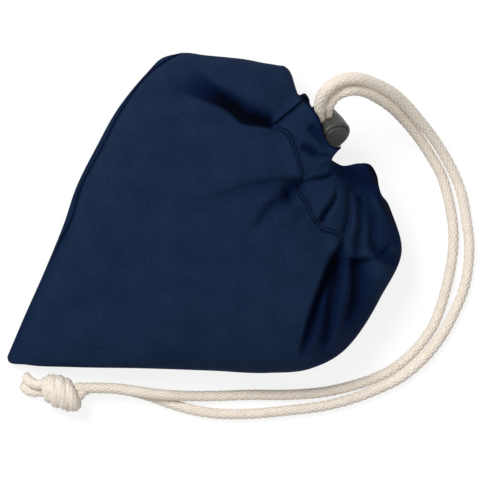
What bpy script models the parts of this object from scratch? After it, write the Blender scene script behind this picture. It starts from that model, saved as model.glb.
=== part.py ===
"""Cotton shopping bag folded into its own drawstring pouch, lying flat on its side.

The pouch is one soft solid: cloth drawn shut round the folded bag. A braided cotton cord comes
out of the gathered mouth as two strands, runs through a spring stopper and ends in a knot.
Metres, +Z up. The pouch rests on z = 0, and the mouth points to +X and +Y.
"""

import math

import bmesh
import bpy
import numpy as np
from mathutils import Matrix, Vector

MM = 0.001

# Pouch
POUCH_LENGTH = 0.173
POUCH_WIDTH = 0.141
POUCH_HEIGHT = 0.047
SEAM_THICKNESS = 0.0014
HEM_THICKNESS = 0.0011
FOLD_DEPTH = 0.009
MOUTH_HEIGHT = 0.027
TOP_COLUMNS = 56
UNDER_COLUMNS = 24

# Cord
CORD_DIAMETER = 0.0044
CORD_SQUEEZED = 0.0033
CORD_GAP = 0.0003
SAMPLE_STEP = 0.0105

# Spring stopper, measured along its own axis from the middle of the cord hole
STOPPER_DIAMETER = 0.015
STOPPER_END_DIAMETER = 0.0128
STOPPER_END_ROUND = 0.0018
STOPPER_FRONT = 0.0068
STOPPER_BACK = 0.0099
STOPPER_FLOOR = 0.0015
STOPPER_EDGE = 0.0008
STOPPER_TAPER_START = 0.001
HOLE_FLARE = 0.0006
BUTTON_DIAMETER = 0.0118
BUTTON_STAND = 0.0007
BUTTON_EDGE = 0.0006
BUTTON_SEAT = 0.0035
BUTTON_TRAVEL = 0.003
BUTTON_THICKNESS = 0.0016
BUTTON_STEP = 0.001
RUNNING_GAP = 0.0003
SPRING_DIAMETER = 0.0062
SPRING_WIRE = 0.0005
SPRING_TURNS = 2.5

# Knot
KNOT_DIAMETER = 0.0150
KNOT_LENGTH = 0.0165
TAIL_LENGTH = 0.0095
STRAND_DROP = 0.0042
STRAND_RAISE = 0.0006

# Rows of the pouch from its side seam (0) to its rim (1). Each point is a place across the
# row, from the near edge (0) to the far edge (1), then X and Y in millimetres.
ROWS_MM = (
    (0.00, (
        (0, -86.5, -64), (0.125, -78.5, -46), (0.25, -70, -27), (0.375, -61.5, -6.5), (0.5, -55.5, 11),
        (0.625, -47, 28), (0.75, -37.5, 45), (0.875, -25, 60.5), (1, -10, 69.5),
    )),
    (0.05, (
        (0, -77.5, -67.5), (0.125, -70.5, -47.5), (0.25, -62.5, -28), (0.375, -54.5, -8.5),
        (0.5, -48, 10.5), (0.625, -40, 28.5), (0.75, -30.5, 45.5), (0.875, -20, 60), (1, -7, 69.5),
    )),
    (0.15, (
        (0, -58, -68), (0.125, -53.5, -49.5), (0.25, -47, -30), (0.375, -40, -10), (0.5, -33, 9.5),
        (0.625, -26, 27.5), (0.75, -18, 45), (0.875, -10, 58.5), (1, 0, 68.5),
    )),
    (0.30, (
        (0, -27.5, -68.5), (0.125, -25, -51.5), (0.25, -21, -33.5), (0.375, -17, -14.5),
        (0.5, -12.5, 5), (0.625, -8, 23.5), (0.75, -3.5, 41), (0.875, 2.5, 56), (1, 10, 67.5),
    )),
    (0.45, (
        (0, 3, -69.5), (0.125, 3, -53.5), (0.25, 3.5, -35.5), (0.375, 5, -17), (0.5, 7, 2.5),
        (0.625, 9, 21), (0.75, 11.5, 39), (0.875, 14.5, 54.5), (1, 18.5, 66.5),
    )),
    (0.58, (
        (0, 28, -70.5), (0.125, 25.5, -55), (0.25, 23.5, -37.5), (0.375, 21, -18.5), (0.5, 20.5, 0.5),
        (0.625, 20.5, 20), (0.75, 21, 37.5), (0.875, 23, 53), (1, 26, 65),
    )),
    (0.68, (
        (0, 47, -68.5), (0.125, 42, -54.5), (0.25, 37.5, -37.5), (0.375, 33.5, -19.5), (0.5, 30, -0.5),
        (0.625, 27, 18), (0.75, 26.5, 34.5), (0.875, 28, 50.5), (1, 32, 64),
    )),
    (0.78, (
        (0, 64, -58), (0.125, 57.5, -47), (0.25, 51, -33.5), (0.375, 45, -17.5), (0.5, 38.5, -1),
        (0.625, 34, 16.5), (0.75, 30.5, 32), (0.875, 31, 47.5), (1, 36, 63),
    )),
    (0.86, (
        (0, 77, -38), (0.125, 68, -33.5), (0.25, 59.5, -25.5), (0.375, 51, -13), (0.5, 43, 0.5),
        (0.625, 37, 17), (0.75, 33, 30.5), (0.875, 32.5, 43.5), (1, 38.5, 59.5),
    )),
    (0.92, (
        (0, 86.5, -17.5), (0.125, 75.5, -18.5), (0.25, 61.5, -15.5), (0.375, 51, -5.5), (0.5, 43, 8),
        (0.625, 39.5, 21.5), (0.75, 36, 34), (0.875, 34, 41), (1, 41, 53.5),
    )),
    (0.96, (
        (0, 82.5, -1.5), (0.0625, 77.5, 0), (0.125, 72, 1.5), (0.1875, 67.5, 2.5), (0.25, 62.5, 4.5),
        (0.3125, 58, 8), (0.375, 54.5, 12), (0.5, 50.5, 20.5), (0.5625, 48.5, 25), (0.625, 47, 30),
        (0.75, 44, 39), (0.875, 41, 46), (1, 42, 52.5),
    )),
    (1.00, (
        (0, 77.5, 10.5), (0.0625, 75.5, 16.5), (0.125, 72.5, 20.5), (0.1875, 67.5, 20.5),
        (0.25, 61.5, 19.5), (0.3125, 58, 20.5), (0.375, 55.5, 22.5), (0.44, 58, 25.5), (0.5, 60, 27.5),
        (0.5625, 57.5, 28.5), (0.625, 55, 31.5), (0.75, 50, 41), (0.875, 46.5, 47.5), (1, 43.5, 52),
    )),
)

# Folds of the cloth: name, route as (X, Y, strength), height on the left and on the right of
# the route, width on the left and on the right, and half width of the change, millimetres.
FOLDS_MM = (
    ("deep pleat beside the top corner", (
        (-13.5, 63.5, 0.15), (-1.5, 58, 0.35), (10, 51.5, 0.65), (19.5, 46, 1), (28, 40.5, 0.9),
    ), -9, -7, 7.4, 2.0, 1.09),
    ("flap of the pleat lying over the casing", (
        (26.5, 38, 0.6), (31.5, 41, 1), (37.5, 46.5, 1), (44, 52, 0.8),
    ), 2.2, -5, 8.7, 3.1, 0.57),
    ("lip below the pleat", (
        (-3.5, 54.5, 0.3), (8, 48.5, 0.7), (18.5, 41.5, 1), (27, 38, 1), (32, 38, 0.6),
    ), -0.5, 1.8, 2.2, 9.6, 1.31),
    ("tuck at the casing", (
        (43.5, 13.5, 0.5), (41, 11, 1), (38, 10, 0.6),
    ), -4.2, -4.2, 3.5, 3.5, 1.31),
    ("long valley from the tuck", (
        (40.5, 12.5, 0.8), (33.5, 13, 1), (25.5, 12, 0.8), (16, 10, 0.55), (5, 6.5, 0.3), (-6, 3, 0.05),
    ), -2.6, -2.6, 5.2, 3.1, 1.31),
    ("short valley from the tuck", (
        (39, 10, 1), (34, 7, 1), (28, 3, 0.9), (23.5, -3.5, 0.6), (20, -10, 0.15),
    ), -3.2, -3.2, 3.9, 3.5, 1.31),
    ("third valley from the tuck", (
        (43, 7, 0.7), (39.5, 2.5, 0.6), (37, -3.5, 0.2),
    ), -1.6, -1.6, 2.6, 2.6, 1.31),
    ("ridge between the valleys", (
        (36, 10, 0.9), (28, 8, 0.8), (19.5, 3.5, 0.3),
    ), 1.2, 1.2, 2.6, 2.6, 1.31),
    ("front panel folded over the side", (
        (59.5, -13.5, 0.7), (57, -19.5, 1), (54, -29, 1), (50.5, -40, 1), (46, -51.5, 0.9),
        (42.5, -62, 0.4),
    ), -7.5, 2.2, 3.9, 11.3, 0.65),
    ("side ridge one", (
        (51.5, -34, 0.4), (50, -46.5, 1), (46.5, -59.5, 0.6),
    ), 2.6, 2.6, 2.2, 2.2, 1.31),
    ("side ridge two", (
        (62.5, -20.5, 0.7), (60.5, -34, 1), (57.5, -47.5, 1), (54.5, -58, 0.5),
    ), 3.6, 3.6, 3.5, 3.1, 1.31),
    ("side valley", (
        (67, -20, 1), (66.5, -32, 1), (64.5, -44, 0.5),
    ), -3.6, -3.6, 2.2, 2.2, 1.31),
    ("broad side swell", (
        (71.5, -24, 0.7), (77, -35, 0.6), (73.5, -44, 0.4),
    ), 2.2, 2.2, 4.8, 4.8, 1.31),
    ("valley of the casing one", (
        (50, -3.5, 1), (54, 2.5, 1), (57, 8.5, 0.9), (58, 14.5, 0.6),
    ), -3, -2.2, 2.6, 2.2, 0.87),
    ("valley of the casing two", (
        (65, -17, 0.8), (64, -9, 1), (61.5, 0.5, 1), (59, 9.5, 0.8), (56.5, 17, 0.6),
    ), -3.2, -3.2, 2.2, 2.2, 0.87),
    ("valley of the casing three", (
        (74.5, -17, 0.9), (71.5, -7, 1), (68, 3, 1), (64, 10.5, 0.8), (58.5, 17.5, 0.5),
    ), -3.4, -2.8, 2.2, 2.6, 0.87),
    ("valley of the casing four", (
        (82, -14.5, 0.5), (79, -4.5, 0.8), (75, 3.5, 1), (69, 11.5, 0.9), (61.5, 17, 0.5),
    ), -2.6, -2.6, 2.2, 2.2, 0.87),
    ("fold of the far lobe", (
        (71.5, 18, 0.8), (73.5, 13.5, 1), (75.5, 9, 0.7), (80.5, 2.5, 0.5),
    ), -2.4, 1.2, 2.6, 3.5, 0.65),
    ("dark lobe behind the casing", (
        (59.5, 18, 0.9), (64.5, 16.5, 1), (70, 14, 0.8),
    ), -2.2, -2.2, 3.5, 3.1, 1.31),
    ("casing dimple one", (
        (48.5, 35, 1), (46, 33, 0.7),
    ), -2.2, -2.2, 3.1, 3.1, 1.31),
    ("casing dimple two", (
        (50, 26.5, 0.9), (44, 27, 1),
    ), -2.4, -2.4, 2.2, 2.2, 1.31),
    ("casing dimple three", (
        (54.5, 19.5, 1), (49, 17, 0.6), (44.5, 14.5, 0.4),
    ), -2.4, -2.4, 2.2, 2.2, 1.31),
    ("casing swell", (
        (42, 35.5, 0.8), (44.5, 30.5, 1), (47.5, 22.5, 1), (50, 13.5, 1), (55, 7, 0.5),
    ), 1.3, 1.3, 3.5, 3.5, 1.31),
    ("small kink of the casing seam", (
        (76, -17.5, 1), (79.5, -15, 0.6),
    ), -2, -2, 1.7, 1.7, 0.87),
    ("step at the casing seam", (
        (58.5, -17, 0.6), (64.5, -18.5, 1), (71.5, -18.5, 1), (78.5, -17, 0.8),
    ), 1.2, -2.4, 2.6, 2.6, 0.65),
)

# Heights along the pouch: place from seam to rim, height of the sides (near, middle, far), rise
# of the upper cloth over them and drop of the lower cloth under them (five places), millimetres.
HEIGHTS_MM = (
    (0.00, (4, 13.5, 7), (0, 0, 0, 0, 0), (0, 0, 0, 0, 0)),
    (0.015, (4.3, 13.6, 7.3), (0.3, 0.3, 0.3, 0.3, 0.3), (0.3, 0.3, 0.3, 0.3, 0.3)),
    (0.05, (6, 14, 8.5), (5, 7.5, 8.5, 7.5, 5), (6, 10, 13, 10, 7)),
    (0.15, (9, 14.5, 10), (12, 15.5, 17, 15.5, 12), (13, 19, 22, 19, 14)),
    (0.30, (12, 15, 12), (20, 22, 24, 22, 18), (20, 24, 26, 24, 20)),
    (0.45, (13, 15, 13.5), (24, 27, 28.5, 27, 22), (22, 26, 27, 26, 22)),
    (0.58, (14, 16, 15), (26, 29, 30.5, 29, 23), (23, 26, 27, 26, 22)),
    (0.68, (15, 17, 16), (26, 28.5, 30, 28.5, 22), (23, 26, 27, 25, 21)),
    (0.78, (16, 18, 17.5), (23, 26, 28, 26.5, 19), (23, 24, 24, 23, 20)),
    (0.86, (17, 19, 19.5), (20, 22.5, 25.5, 24, 16), (20, 19, 19, 20, 18)),
    (0.92, (18, 20.5, 21.5), (16, 18.5, 22.5, 21.5, 13), (12, 12, 15, 17, 15)),
    (0.96, (20, 22, 23), (13, 15, 19.5, 19, 13), (6, 6, 12, 14.5, 14)),
    (1.00, (22, 23.5, 25), (9, 12.5, 16.5, 17.5, 13), (-3, -5.5, 9.5, 14, 12)),
)
# Length, width, height, height of the mouth and depth of the folds that the tables are drawn for
DRAWN_MM = (173, 141, 47, 27, 9)

LENGTH_SCALE = POUCH_LENGTH / MM / DRAWN_MM[0]
WIDTH_SCALE = POUCH_WIDTH / MM / DRAWN_MM[1]
HEIGHT_SCALE = POUCH_HEIGHT / MM / DRAWN_MM[2]
MOUTH_SCALE = MOUTH_HEIGHT / MM / DRAWN_MM[3]
FOLD_SCALE = FOLD_DEPTH / MM / DRAWN_MM[4]


def place(x, y, z):
    """A point of the pouch's cage, in millimetres, at the pouch's own size in metres."""
    return Vector((x * MM * LENGTH_SCALE, y * MM * WIDTH_SCALE, z * MM * HEIGHT_SCALE))


# The middle of the cord hole, the stopper's axis towards its button, and the way of the cord
STOPPER_AT = place(54.2, 36.9, 29.8)
STOPPER_AXIS = Vector((0.46, -0.655, 0.6)).normalized()
CORD_WAY = Vector((-0.184, 0.590, 0.786)).normalized()
STRAND_SIDE = STOPPER_AXIS.cross(CORD_WAY).normalized()

KNOT_AT = Vector((-0.0612, -0.0790, KNOT_DIAMETER / 2 + 0.0001))


def smooth(knots, values, at):
    """Values of a smooth curve through the knots, read at the given places."""
    knots = np.asarray(knots, float)
    values = np.asarray(values, float)
    slopes = np.gradient(values, knots, axis=0)
    index = np.clip(np.searchsorted(knots, at, side="right") - 1, 0, len(knots) - 2)
    span = knots[index + 1] - knots[index]
    part = (at - knots[index]) / span
    shape = part.shape + (1,) * (values.ndim - 1)
    span = span.reshape(shape)
    part = part.reshape(shape)
    first = (1 + 2 * part) * (1 - part) ** 2
    second = part * (1 - part) ** 2
    third = part**2 * (3 - 2 * part)
    fourth = part**2 * (part - 1)
    start = first * values[index] + second * span * slopes[index]
    return start + third * values[index + 1] + fourth * span * slopes[index + 1]


def cage_plan(across, along):
    """X and Y of the cloth in metres, one row for each place along and one column across."""
    rows = []
    for _, points in ROWS_MM:
        table = np.array(points)
        rows.append(smooth(table[:, 0], table[:, 1:], across))
    plan = smooth([row[0] for row in ROWS_MM], np.array(rows), along)
    return plan * np.array([LENGTH_SCALE, WIDTH_SCALE]) * MM


def cage_heights(across, along):
    """Height of the sides, rise of the upper cloth and drop of the lower one, in metres."""
    places = [row[0] for row in HEIGHTS_MM]
    found = []
    for column in (1, 2, 3):
        rows = []
        for row in HEIGHTS_MM:
            values = row[column]
            rows.append(smooth(np.linspace(0, 1, len(values)), values, across))
        found.append(smooth(places, np.array(rows), along) * MM * HEIGHT_SCALE)
    return found


def fold_lift(plan):
    """Height that the folds add at each point of the plan, in metres."""
    x = plan[..., 0] / (MM * LENGTH_SCALE)
    y = plan[..., 1] / (MM * WIDTH_SCALE)
    lift = np.zeros(x.shape)
    for _, route, left, right, left_width, right_width, change in FOLDS_MM:
        table = np.array(route)
        spots = np.linspace(0, len(table) - 1, 6 * (len(table) - 1) + 1)
        line = smooth(np.arange(len(table)), table, spots)
        nearest = np.full(x.shape, 1e9)
        side = np.zeros(x.shape)
        strength = np.zeros(x.shape)
        for start, end in zip(line[:-1], line[1:]):
            run = end[:2] - start[:2]
            share = ((x - start[0]) * run[0] + (y - start[1]) * run[1]) / (run @ run)
            share = np.clip(share, 0, 1)
            away_x = x - start[0] - share * run[0]
            away_y = y - start[1] - share * run[1]
            away = np.hypot(away_x, away_y)
            closer = away < nearest
            nearest = np.where(closer, away, nearest)
            turn = run[0] * away_y - run[1] * away_x
            side = np.where(closer, np.sign(turn) * away, side)
            strength = np.where(closer, start[2] + share * (end[2] - start[2]), strength)
        mix = 0.5 + 0.5 * np.tanh(side / change)
        on_left = left * np.exp(-((side / left_width) ** 2))
        on_right = right * np.exp(-((side / right_width) ** 2))
        end_fade = np.exp(-(((nearest - np.abs(side)) / 1.0) ** 2))
        lift += strength * end_fade * (mix * on_left + (1 - mix) * on_right)
    return lift * MM * FOLD_SCALE


def pouch_rings():
    """Rows of points from the seam over the mouth's rim into the throat: upper and lower side."""
    turn = np.linspace(0, 1, TOP_COLUMNS + 1)
    upper_across = turn - 0.45 * np.sin(2 * math.pi * turn) / (2 * math.pi)
    turn = np.linspace(0, 1, UNDER_COLUMNS + 1)
    lower_across = turn - 0.6 * np.sin(2 * math.pi * turn) / (2 * math.pi)
    along = np.concatenate([
        np.array([0, 0.015]),
        np.linspace(0.04, 0.52, 13),
        np.linspace(0.55, 0.84, 15),
        np.linspace(0.855, 1, 14),
    ])
    sides = []
    for across in (upper_across, lower_across):
        plan = cage_plan(across, along)
        middle, rise, drop = cage_heights(across, along)
        swell = np.sqrt(np.clip(4 * across * (1 - across), 0, 1))
        sides.append((across, plan, middle, rise, drop, swell))

    across, plan, middle, rise, drop, swell = sides[0]
    mouth = np.clip((along - 0.92) / 0.08, 0, 1)[:, None]
    stretch = 1 + mouth * (MOUTH_SCALE - 1)
    ease = np.clip(along / 0.05, 0, 1)[:, None]
    thick = 0.5 * SEAM_THICKNESS * np.clip(swell / 0.3, 0, 1)
    top = middle + thick + rise * stretch * swell**0.75
    top = top + fold_lift(plan) * ease * np.clip(swell / 0.35, 0, 1)
    upper = np.dstack([plan, top])

    across, plan, middle, rise, drop, swell = sides[1]
    thick = 0.5 * SEAM_THICKNESS * np.clip(swell / 0.3, 0, 1)
    low = middle - thick - drop * stretch * swell**0.6
    roof = np.array([np.interp(across, upper_across, row) for row in top])
    low = np.minimum(low, roof - 3.4 * HEM_THICKNESS * np.clip(swell / 0.3, 0, 1) * ease)
    low = np.maximum(low, 0.0)
    lower = np.dstack([plan, low])

    throat = ((0.993, 0.0), (0.98, 0.06), (0.965, 0.16), (0.952, 0.45))
    upper_rows = [row for row in upper]
    lower_rows = [row for row in lower]
    rim_top = top[-1]
    rim_low = low[-1]
    for depth, narrow in throat:
        added = []
        for columns in (upper_across, lower_across):
            inner = 0.035 + 0.93 * columns
            plan = cage_plan(inner, np.array([depth]))[0]
            above = np.interp(inner, upper_across, rim_top)
            below = np.interp(inner, lower_across, rim_low)
            centre = (above + below) / 2
            half = ((above - below) / 2 - HEM_THICKNESS) * (1 - narrow)
            added.append((plan, centre, half))
        plan, centre, half = added[0]
        upper_rows.append(np.column_stack([plan, centre + half]))
        plan, centre, half = added[1]
        lower_rows.append(np.column_stack([plan, centre - half]))
    return upper_across, lower_across, upper_rows, lower_rows


def new_mesh_object(name, bm, collection, material):
    bmesh.ops.recalc_face_normals(bm, faces=bm.faces)
    mesh = bpy.data.meshes.new(name)
    bm.to_mesh(mesh)
    bm.free()
    mesh.materials.append(material)
    mesh.shade_smooth()
    mesh.set_sharp_from_angle(angle=math.radians(40))
    obj = bpy.data.objects.new(name, mesh)
    collection.objects.link(obj)
    return obj


def zip_rows(bm, first, first_at, second, second_at):
    """Triangles between two rows of unlike count that share their first and last point."""
    i = 0
    j = 0
    while i < len(first) - 1 or j < len(second) - 1:
        step_first = j == len(second) - 1
        if i < len(first) - 1 and not step_first:
            step_first = first_at[i + 1] <= second_at[j + 1]
        if step_first:
            corners = [first[i], first[i + 1], second[j]]
            i += 1
        else:
            corners = [first[i], second[j + 1], second[j]]
            j += 1
        if len(set(corners)) == 3:
            bm.faces.new(corners)


def build_pouch(collection, material):
    upper_across, lower_across, upper_rows, lower_rows = pouch_rings()
    bm = bmesh.new()
    rows = []
    for upper, lower in zip(upper_rows, lower_rows):
        top = [bm.verts.new(point) for point in upper]
        low = [bm.verts.new(point) for point in lower[1:-1]]
        rows.append((top, [top[0]] + low + [top[-1]]))
    for (top, low), (next_top, next_low) in zip(rows[:-1], rows[1:]):
        for before, after in ((top, next_top), (low, next_low)):
            for i in range(len(before) - 1):
                bm.faces.new([before[i], before[i + 1], after[i + 1], after[i]])
    for top, low in (rows[0], rows[-1]):
        zip_rows(bm, top, upper_across, low, lower_across)
    return new_mesh_object("pouch", bm, collection, material)

# Outer strand from the stopper to the knot, X, Y and height in millimetres
OUTER_MM = (
    (50.7, 47.6, 42.6), (53.2, 52.5, 46), (59.3, 56.7, 46.5), (66.7, 57.6, 43.5), (73.5, 55.8, 38),
    (81.3, 52.1, 31), (87.6, 46.9, 24), (94.4, 39.5, 16.5), (100.7, 31.7, 10), (106.4, 22.8, 5.2),
    (110.6, 14.4, 2.9), (113.4, 5.9, 2.25), (115.1, -4.1, 2.25), (116.2, -13.3, 2.25),
    (115.8, -24.0, 2.25), (114.0, -33.5, 2.25), (110.5, -42.5, 2.25), (106.6, -50.4, 2.25),
    (101.6, -58.2, 2.25), (94.8, -65.8, 2.25), (86.8, -72.4, 2.25), (77.4, -77.2, 2.25),
    (66.9, -81.3, 2.25), (53.0, -85.0, 2.25), (37.3, -87.0, 2.25), (20.3, -88.5, 2.25),
    (4.6, -88.3, 2.25), (-5.9, -86.5, 2.25), (-14.2, -84.1, 2.25), (-21.6, -81.5, 2.25),
    (-29.9, -79.1, 2.25), (-38.6, -77.6, 2.25), (-46.0, -77.3, 2.6),
)
# Inner strand from the stopper to the knot
INNER_MM = (
    (54.7, 46.7, 39.5), (57.6, 50.4, 41.5), (63.0, 52.6, 42), (69.3, 52.4, 38), (75.5, 49.7, 32.4),
    (81.8, 45.6, 25.4), (87.4, 40.2, 18.2), (93.2, 33.4, 11.4), (98.9, 25.1, 6.2), (103.8, 16.5, 3.4),
    (106.5, 8.2, 2.4), (108.3, -0.2, 2.25), (109.3, -8.1, 2.25), (109.2, -16.0, 2.25),
    (108.2, -24.0, 2.25), (106.1, -33.5, 2.25), (103.5, -42.5, 2.25), (100.5, -49.9, 2.25),
    (96.1, -56.5, 2.25), (90.0, -63.2, 2.25), (82.6, -69.1, 2.25), (74.3, -73.2, 2.25),
    (64.7, -76.3, 2.25), (53.0, -78.9, 2.25), (37.3, -80.2, 2.25), (20.3, -80.2, 2.25),
    (4.6, -80.7, 2.25), (-5.9, -80.7, 3.6), (-15.5, -80.2, 6.2), (-22.5, -79.5, 7.05),
    (-29.9, -78.4, 7.05), (-38.6, -77.3, 7), (-46.0, -77.0, 7.4),
)
# The hidden ends of the strands in the throat, from the casing to the stopper
OUTER_THROAT_MM = ((48.2, 24.9, 22.6), (51.2, 26.7, 21.5), (53.7, 29.1, 21.8))
INNER_THROAT_MM = ((54.9, 26.8, 17.4), (57.2, 28.7, 18.1), (58.2, 30.9, 20.4))
CORD_DRAWN = 4.5

# The two cut ends of the cord, from inside the knot, measured from the knot's far end
TAILS_MM = (
    ((3.0, 2.0, 1.2), (0.5, 1.8, 1.2), (-2.5, 1.2, 1.0), (-5.0, 2.0, 0.8), (-7.4, 4.4, 0.6), (-8.0, 7.0, 0.4)),
    ((3.0, -0.5, -2.0), (0.5, -0.8, -2.4), (-2.5, -1.4, -3.0), (-5.2, -0.6, -3.4), (-7.6, 2.2, -3.9)),
)
DRAWN_TAIL = 0.0095


def route_points(knots, dense_length, dense_step, step):
    """Points on a smooth curve through the knots, close together along its first stretch."""
    knots = np.array(knots, float)
    lengths = np.linalg.norm(np.diff(knots[:, :3], axis=0), axis=1)
    places = np.concatenate([[0], np.cumsum(lengths**0.7)])
    fine = smooth(places, knots, np.linspace(0, places[-1], 3000))
    steps = np.linalg.norm(np.diff(fine[:, :3], axis=0), axis=1)
    run = np.concatenate([[0], np.cumsum(steps)])
    first = np.arange(0, dense_length, dense_step)
    count = round((run[-1] - dense_length) / step) + 1
    wanted = np.concatenate([first, np.linspace(dense_length, run[-1], count)])
    return np.column_stack([np.interp(wanted, run, column) for column in fine.T])


def make_tube(name, points, radii, collection, material, resolution=2):
    """A cord or wire along the points, with filled ends."""
    curve = bpy.data.curves.new(name, "CURVE")
    curve.dimensions = "3D"
    curve.bevel_depth = max(radii)
    curve.bevel_resolution = resolution
    curve.use_fill_caps = True
    spline = curve.splines.new("POLY")
    spline.points.add(len(points) - 1)
    for spot, point, radius in zip(spline.points, points, radii):
        spot.co = (point[0], point[1], point[2], 1)
        spot.radius = radius / max(radii)
    curve.materials.append(material)
    obj = bpy.data.objects.new(name, curve)
    collection.objects.link(obj)
    return obj


def build_strand(name, side, throat_mm, route_mm, end_at, collection, material):
    """One strand: throat, stopper, free arc, then flat on the surface to the knot."""
    pinch = (CORD_SQUEEZED + CORD_GAP) / 2 * side
    hole = STOPPER_DIAMETER / 2 + HOLE_FLARE
    knots = []
    for x, y, z in throat_mm:
        knots.append((*place(x, y, z), CORD_DIAMETER / 2))
    for share in (-1, -0.4, 0.4, 1):
        point = STOPPER_AT + CORD_WAY * hole * share + STRAND_SIDE * pinch
        knots.append((*point, CORD_SQUEEZED / 2))
    lift = CORD_DIAMETER / 2 - CORD_DRAWN / 2 * MM
    for x, y, z in route_mm:
        knots.append((x * MM, y * MM, z * MM + lift, CORD_DIAMETER / 2))
    knots.append((*end_at, CORD_DIAMETER / 2))
    points = route_points(knots, 0.028, 0.002, SAMPLE_STEP)
    points[:, 2] = np.maximum(points[:, 2], points[:, 3])
    return make_tube(name, points[:, :3], points[:, 3], collection, material)


def turned(name, profile, steps, collection, material):
    """A body turned about Z from a profile that runs from top to bottom on its outer side."""
    mesh = bpy.data.meshes.new(name)
    points = [(radius, 0, height) for radius, height in profile]
    mesh.from_pydata(points, [(i, i + 1) for i in range(len(points) - 1)], [])
    mesh.materials.append(material)
    obj = bpy.data.objects.new(name, mesh)
    collection.objects.link(obj)
    screw = obj.modifiers.new("Turn", "SCREW")
    screw.axis = "Z"
    screw.steps = steps
    screw.render_steps = steps
    screw.use_merge_vertices = True
    screw.merge_threshold = 0.00001
    screw.use_smooth_shade = True
    return obj


def corner(radius, height, size, below, count=3):
    """Profile points round an outer corner at (radius, height), from top to bottom."""
    points = []
    for i in range(count + 1):
        angle = math.pi / 2 * i / count
        across = math.cos(angle) if below else math.sin(angle)
        upward = -math.sin(angle) if below else math.cos(angle)
        points.append((radius - size + size * across, height + (size if below else -size) + size * upward))
    return points


def slot_cutter(name, low, high, parent, collection):
    """A rounded bar through the stopper that leaves the cord hole, between two heights."""
    width = 2 * CORD_SQUEEZED + 3 * CORD_GAP
    bm = bmesh.new()
    bmesh.ops.create_cube(bm, size=1)
    bmesh.ops.scale(bm, vec=(width, STOPPER_DIAMETER * 2, high - low), verts=bm.verts)
    bmesh.ops.translate(bm, vec=(0, 0, (high + low) / 2), verts=bm.verts)
    edges = [e for e in bm.edges if abs((e.verts[0].co - e.verts[1].co).y) > STOPPER_DIAMETER]
    bmesh.ops.bevel(bm, geom=edges, offset=CORD_SQUEEZED * 0.3, segments=2, profile=0.5, affect="EDGES")
    mesh = bpy.data.meshes.new(name)
    bm.to_mesh(mesh)
    bm.free()
    obj = bpy.data.objects.new(name, mesh)
    obj.hide_render = True
    obj.display_type = "WIRE"
    collection.objects.link(obj)
    obj.parent = parent
    return obj


def cut(obj, cutter, operation="DIFFERENCE"):
    boolean = obj.modifiers.new("Cut" if operation == "DIFFERENCE" else "Join", "BOOLEAN")
    boolean.operation = operation
    boolean.object = cutter


def build_stopper(collection, cutters, material, button_material, wire_material):
    """Spring stopper: a barrel with a cord hole, a button on a stem inside it, and a spring."""
    frame = bpy.data.objects.new("stopper_frame", None)
    collection.objects.link(frame)
    turn = Matrix((-STRAND_SIDE, CORD_WAY, STOPPER_AXIS)).transposed().to_4x4()
    frame.matrix_world = Matrix.Translation(STOPPER_AT) @ turn

    hole_low = -CORD_SQUEEZED / 2 - 2 * CORD_GAP
    hole_high = CORD_SQUEEZED / 2 + CORD_GAP
    stem = BUTTON_DIAMETER / 2 - BUTTON_STEP
    bore = stem + RUNNING_GAP
    mouth = BUTTON_DIAMETER / 2 + RUNNING_GAP
    button_top = STOPPER_FRONT + BUTTON_STAND
    button_under = button_top - BUTTON_THICKNESS
    shelf = button_under - BUTTON_TRAVEL - RUNNING_GAP
    floor = -STOPPER_BACK + STOPPER_FLOOR

    profile = [(0, floor), (bore, floor), (bore, shelf), (mouth, shelf), (mouth, STOPPER_FRONT)]
    profile += corner(STOPPER_DIAMETER / 2, STOPPER_FRONT, STOPPER_EDGE, below=False)
    profile.append((STOPPER_DIAMETER / 2, STOPPER_TAPER_START))
    end = STOPPER_END_DIAMETER / 2
    profile += corner(end, -STOPPER_BACK, STOPPER_END_ROUND, below=True, count=4)
    profile.append((0, -STOPPER_BACK))
    body = turned("stopper_body", profile, 32, collection, material)
    body.parent = frame
    cut(body, slot_cutter("body_hole", hole_low, hole_high, frame, cutters))

    profile = [(0, button_top)]
    profile += corner(BUTTON_DIAMETER / 2, button_top, BUTTON_EDGE, below=False)
    profile += [(BUTTON_DIAMETER / 2, button_under), (stem, button_under)]
    profile += [(stem, -BUTTON_SEAT), (0, -BUTTON_SEAT)]
    plunger = turned("stopper_plunger", profile, 32, collection, button_material)
    plunger.parent = frame
    reach = hole_high + BUTTON_TRAVEL
    cut(plunger, slot_cutter("stem_hole", -CORD_SQUEEZED / 2 - CORD_GAP, reach, frame, cutters))

    high = -BUTTON_SEAT - CORD_GAP - SPRING_WIRE / 2
    low = floor + CORD_GAP + SPRING_WIRE / 2
    radius = (SPRING_DIAMETER - SPRING_WIRE) / 2
    count = round(12 * SPRING_TURNS)
    points = []
    for i in range(count + 1):
        angle = 2 * math.pi * SPRING_TURNS * i / count
        height = low + (high - low) * i / count
        points.append((radius * math.cos(angle), radius * math.sin(angle), height))
    radii = [SPRING_WIRE / 2] * len(points)
    spring = make_tube("stopper_spring", points, radii, collection, wire_material, resolution=1)
    spring.parent = frame


def joined_tube(name, points, radius, collection, material):
    """A tube as a closed mesh, ready for a Boolean."""
    tube = make_tube(name + "_path", points, [radius] * len(points), collection, material, 1)
    graph = bpy.context.evaluated_depsgraph_get()
    mesh = bpy.data.meshes.new_from_object(tube.evaluated_get(graph))
    bpy.data.objects.remove(tube)
    bm = bmesh.new()
    bm.from_mesh(mesh)
    bmesh.ops.remove_doubles(bm, verts=bm.verts, dist=0.00001)
    bm.to_mesh(mesh)
    bm.free()
    obj = bpy.data.objects.new(name, mesh)
    obj.hide_render = True
    obj.display_type = "WIRE"
    collection.objects.link(obj)
    return obj


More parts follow.
